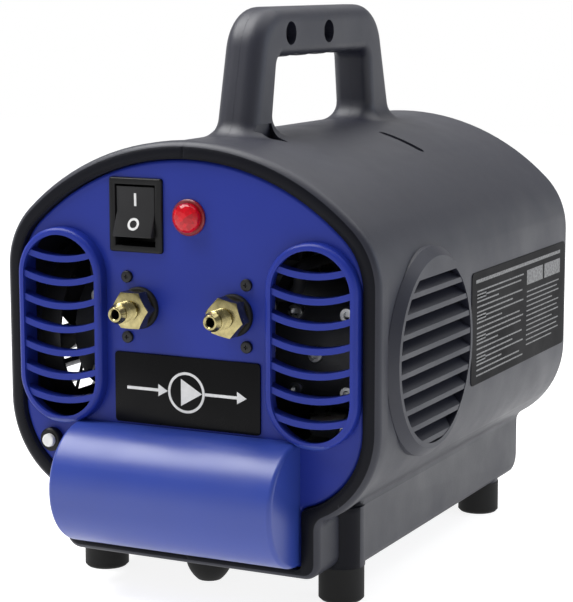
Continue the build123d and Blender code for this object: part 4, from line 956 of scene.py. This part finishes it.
class MACHINE_OT_pump(bpy.types.Operator):
    """Motor, crankcases, cylinders, heads and chassis, with the cover screws of the crankcases"""

    bl_idname = "machine.pump"
    bl_label = "Motor and pump"

    def execute(self, context):
        dressed(("crankcase_left", "crankcase_right", "head_left", "head_right"), 0.6 * MM)
        dressed(("cylinder_left", "cylinder_right", "motor_shell", "capacitor"), 0.3 * MM)
        dressed((
            "stator_core", "stator_windings", "rotor_core", "drive_shaft", "shaft_bearings", "head_bolts",
            "motor_cradle", "motor_isolators", "chassis_plate", "capacitor_clamp",
        ))
        steps = 24
        # socket screws: radii of the head, its top and its socket, and heights from the cover
        head, head_top, socket = 4.2 * MM, 3.7 * MM, 2.0 * MM
        buried, side_height, height, socket_floor = MM, 2.2 * MM, 2.8 * MM, 0.8 * MM
        # places of the screws as shares of the crankcase's width and height
        places = ((0.22, 0.80), (0.78, 0.80), (0.5, 0.5), (0.22, 0.20), (0.78, 0.20))
        for side in ("left", "right"):
            low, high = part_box(f"crankcase_{side}")
            radius = (high.z - low.z) / 2
            bm = bmesh.new()
            for x, z in places:
                rise = (z - 0.5) * 2 * radius
                face = low.y + radius - math.sqrt(radius**2 - rise**2)
                spot = Vector((low.x + x * (high.x - low.x), 0, (low.z + high.z) / 2 + rise))
                turned(bm, [
                    (0, face + buried), (head, face + buried), (head, face - side_height),
                    (head_top, face - height), (socket, face - height), (socket, face - socket_floor),
                    (0, face - socket_floor),
                ], spot, steps)
            piece(bm, f"cover_screws_{side}", f"crankcase_{side}", "steel")
        return {"FINISHED"}


class MACHINE_OT_pipework(bpy.types.Operator):
    """Condenser and copper lines"""

    bl_idname = "machine.pipework"
    bl_label = "Condenser and lines"

    def execute(self, context):
        dressed((
            "condenser_core", "condenser_bends", "condenser_brackets", "suction_line", "return_line",
            "crossover_line", "discharge_lines",
        ))
        return {"FINISHED"}


class MACHINE_OT_studio(bpy.types.Operator):
    """Floor, lights and camera"""

    bl_idname = "machine.studio"
    bl_label = "Studio"

    def execute(self, context):
        settings = context.scene.machine_studio
        self.lay_floor(context.scene, settings)
        self.light_room(context.scene, settings)
        self.hang_lamps(context.scene)
        self.place_camera(context.scene, settings)
        context.scene.view_settings.view_transform = "Standard"
        return {"FINISHED"}

    def lay_floor(self, scene, settings):
        """Pale floor that gives off a little light of its own."""
        bm = bmesh.new()
        bmesh.ops.create_grid(bm, x_segments=1, y_segments=1, size=settings.floor_size / 2)
        mesh = bpy.data.meshes.new("studio_floor")
        bm.to_mesh(mesh)
        bm.free()
        surface = finish("studio_floor", (0.42, 0.42, 0.42), 0.8, specular=0.0, tone=(400 * MM, 0.01))
        shader = surface.node_tree.nodes["Principled BSDF"]
        shader.inputs["Emission Color"].default_value = (1, 1, 1, 1)
        shader.inputs["Emission Strength"].default_value = settings.floor_glow
        mesh.materials.append(surface)
        floor = bpy.data.objects.new("studio_floor", mesh)
        scene.collection.objects.link(floor)

    def light_room(self, scene, settings):
        """White walls that fade to a dim ceiling, from one slope of the view to a steeper one."""
        wall_top, ceiling_start = 0.14, 0.34
        world = bpy.data.worlds.new("studio")
        world.use_nodes = True
        nodes = world.node_tree.nodes
        links = world.node_tree.links
        way = nodes.new("ShaderNodeTexCoord")
        parts = nodes.new("ShaderNodeSeparateXYZ")
        ramp = nodes.new("ShaderNodeValToRGB")
        wall, ceiling = ramp.color_ramp.elements
        wall.position = wall_top
        ceiling.position = ceiling_start
        wall.color = (1, 1, 1, 1)
        ceiling.color = (settings.ceiling, settings.ceiling, settings.ceiling, 1)
        links.new(way.outputs["Generated"], parts.inputs["Vector"])
        links.new(parts.outputs["Z"], ramp.inputs["Fac"])
        links.new(ramp.outputs["Color"], nodes["Background"].inputs["Color"])
        scene.world = world

    def hang_lamps(self, scene):
        """Square softboxes: name, place, aim, side, power and tint."""
        lamps = (
            ("top_softbox", (0.2, 0.5, 1.5), (0, 0.0, 0.1), 1.6, 18, (1, 1, 1)),
            ("front_softbox", (-0.73, -0.3, 1.5), (0, -0.15, 0.1), 1.2, 42, (1, 1, 1)),
            ("rear_right_softbox", (1.7, 0.9, 0.7), (0, 0, 0.15), 1.2, 8, (0.72, 0.82, 1)),
        )
        for name, place, aim, side, power, tint in lamps:
            lamp = bpy.data.lights.new(name, "AREA")
            lamp.color = tint
            lamp.size = side
            lamp.energy = power
            holder = bpy.data.objects.new(name, lamp)
            holder.location = place
            direction = Vector(aim) - Vector(place)
            holder.rotation_euler = direction.to_track_quat("-Z", "Y").to_euler()
            scene.collection.objects.link(holder)

    def place_camera(self, scene, settings):
        """Camera as the studio settings give it."""
        camera = bpy.data.cameras.new("camera")
        camera.sensor_fit = "HORIZONTAL"
        camera.sensor_width = 36
        camera.lens = settings.lens
        camera.clip_start = 0.01
        camera.clip_end = 50
        holder = bpy.data.objects.new("camera", camera)
        holder.location = settings.camera_place
        turn = Matrix.Rotation(settings.camera_turn, 4, "Z")
        tip = Matrix.Rotation(QUARTER_TURN - settings.camera_pitch, 4, "X")
        roll = Matrix.Rotation(settings.camera_roll, 4, "Z")
        holder.rotation_euler = (turn @ tip @ roll).to_euler()
        scene.collection.objects.link(holder)
        scene.camera = holder


class MACHINE_PT_looks(bpy.types.Panel):
    """Sizes, colours and building steps"""

    bl_idname = "MACHINE_PT_looks"
    bl_label = "Recovery Machine"
    bl_space_type = "VIEW_3D"
    bl_region_type = "UI"
    bl_category = "Recovery Machine"

    def draw(self, context):
        for group in (context.scene.machine_finish, context.scene.machine_size, context.scene.machine_studio):
            box = self.layout.box()
            for name in group.__annotations__:
                box.prop(group, name)
        for operator in OPERATORS:
            self.layout.operator(operator.bl_idname)


SETTINGS = (FinishSettings, SizeSettings, StudioSettings)
OPERATORS = (
    MACHINE_OT_finishes, MACHINE_OT_mouldings, MACHINE_OT_switch, MACHINE_OT_lamp, MACHINE_OT_breaker,
    MACHINE_OT_ports, MACHINE_OT_screws, MACHINE_OT_plates, MACHINE_OT_feet, MACHINE_OT_rear,
    MACHINE_OT_fans, MACHINE_OT_pump, MACHINE_OT_pipework, MACHINE_OT_studio,
)


def register():
    """Add the settings, the operators and the panel to Blender."""
    for cls in (*SETTINGS, *OPERATORS, MACHINE_PT_looks):
        bpy.utils.register_class(cls)
    bpy.types.Scene.machine_finish = PointerProperty(type=FinishSettings)
    bpy.types.Scene.machine_size = PointerProperty(type=SizeSettings)
    bpy.types.Scene.machine_studio = PointerProperty(type=StudioSettings)


def unregister():
    """Take out what register added."""
    del bpy.types.Scene.machine_studio
    del bpy.types.Scene.machine_size
    del bpy.types.Scene.machine_finish
    for cls in reversed((*SETTINGS, *OPERATORS, MACHINE_PT_looks)):
        bpy.utils.unregister_class(cls)


def main():
    """Run every building step."""
    register()
    bpy.ops.machine.finishes()
    bpy.ops.machine.mouldings()
    bpy.ops.machine.switch()
    bpy.ops.machine.lamp()
    bpy.ops.machine.breaker()
    bpy.ops.machine.ports()
    bpy.ops.machine.screws()
    bpy.ops.machine.plates()
    bpy.ops.machine.feet()
    bpy.ops.machine.rear()
    bpy.ops.machine.fans()
    bpy.ops.machine.pump()
    bpy.ops.machine.pipework()
    bpy.ops.machine.studio()


if __name__ == "__main__":
    main()
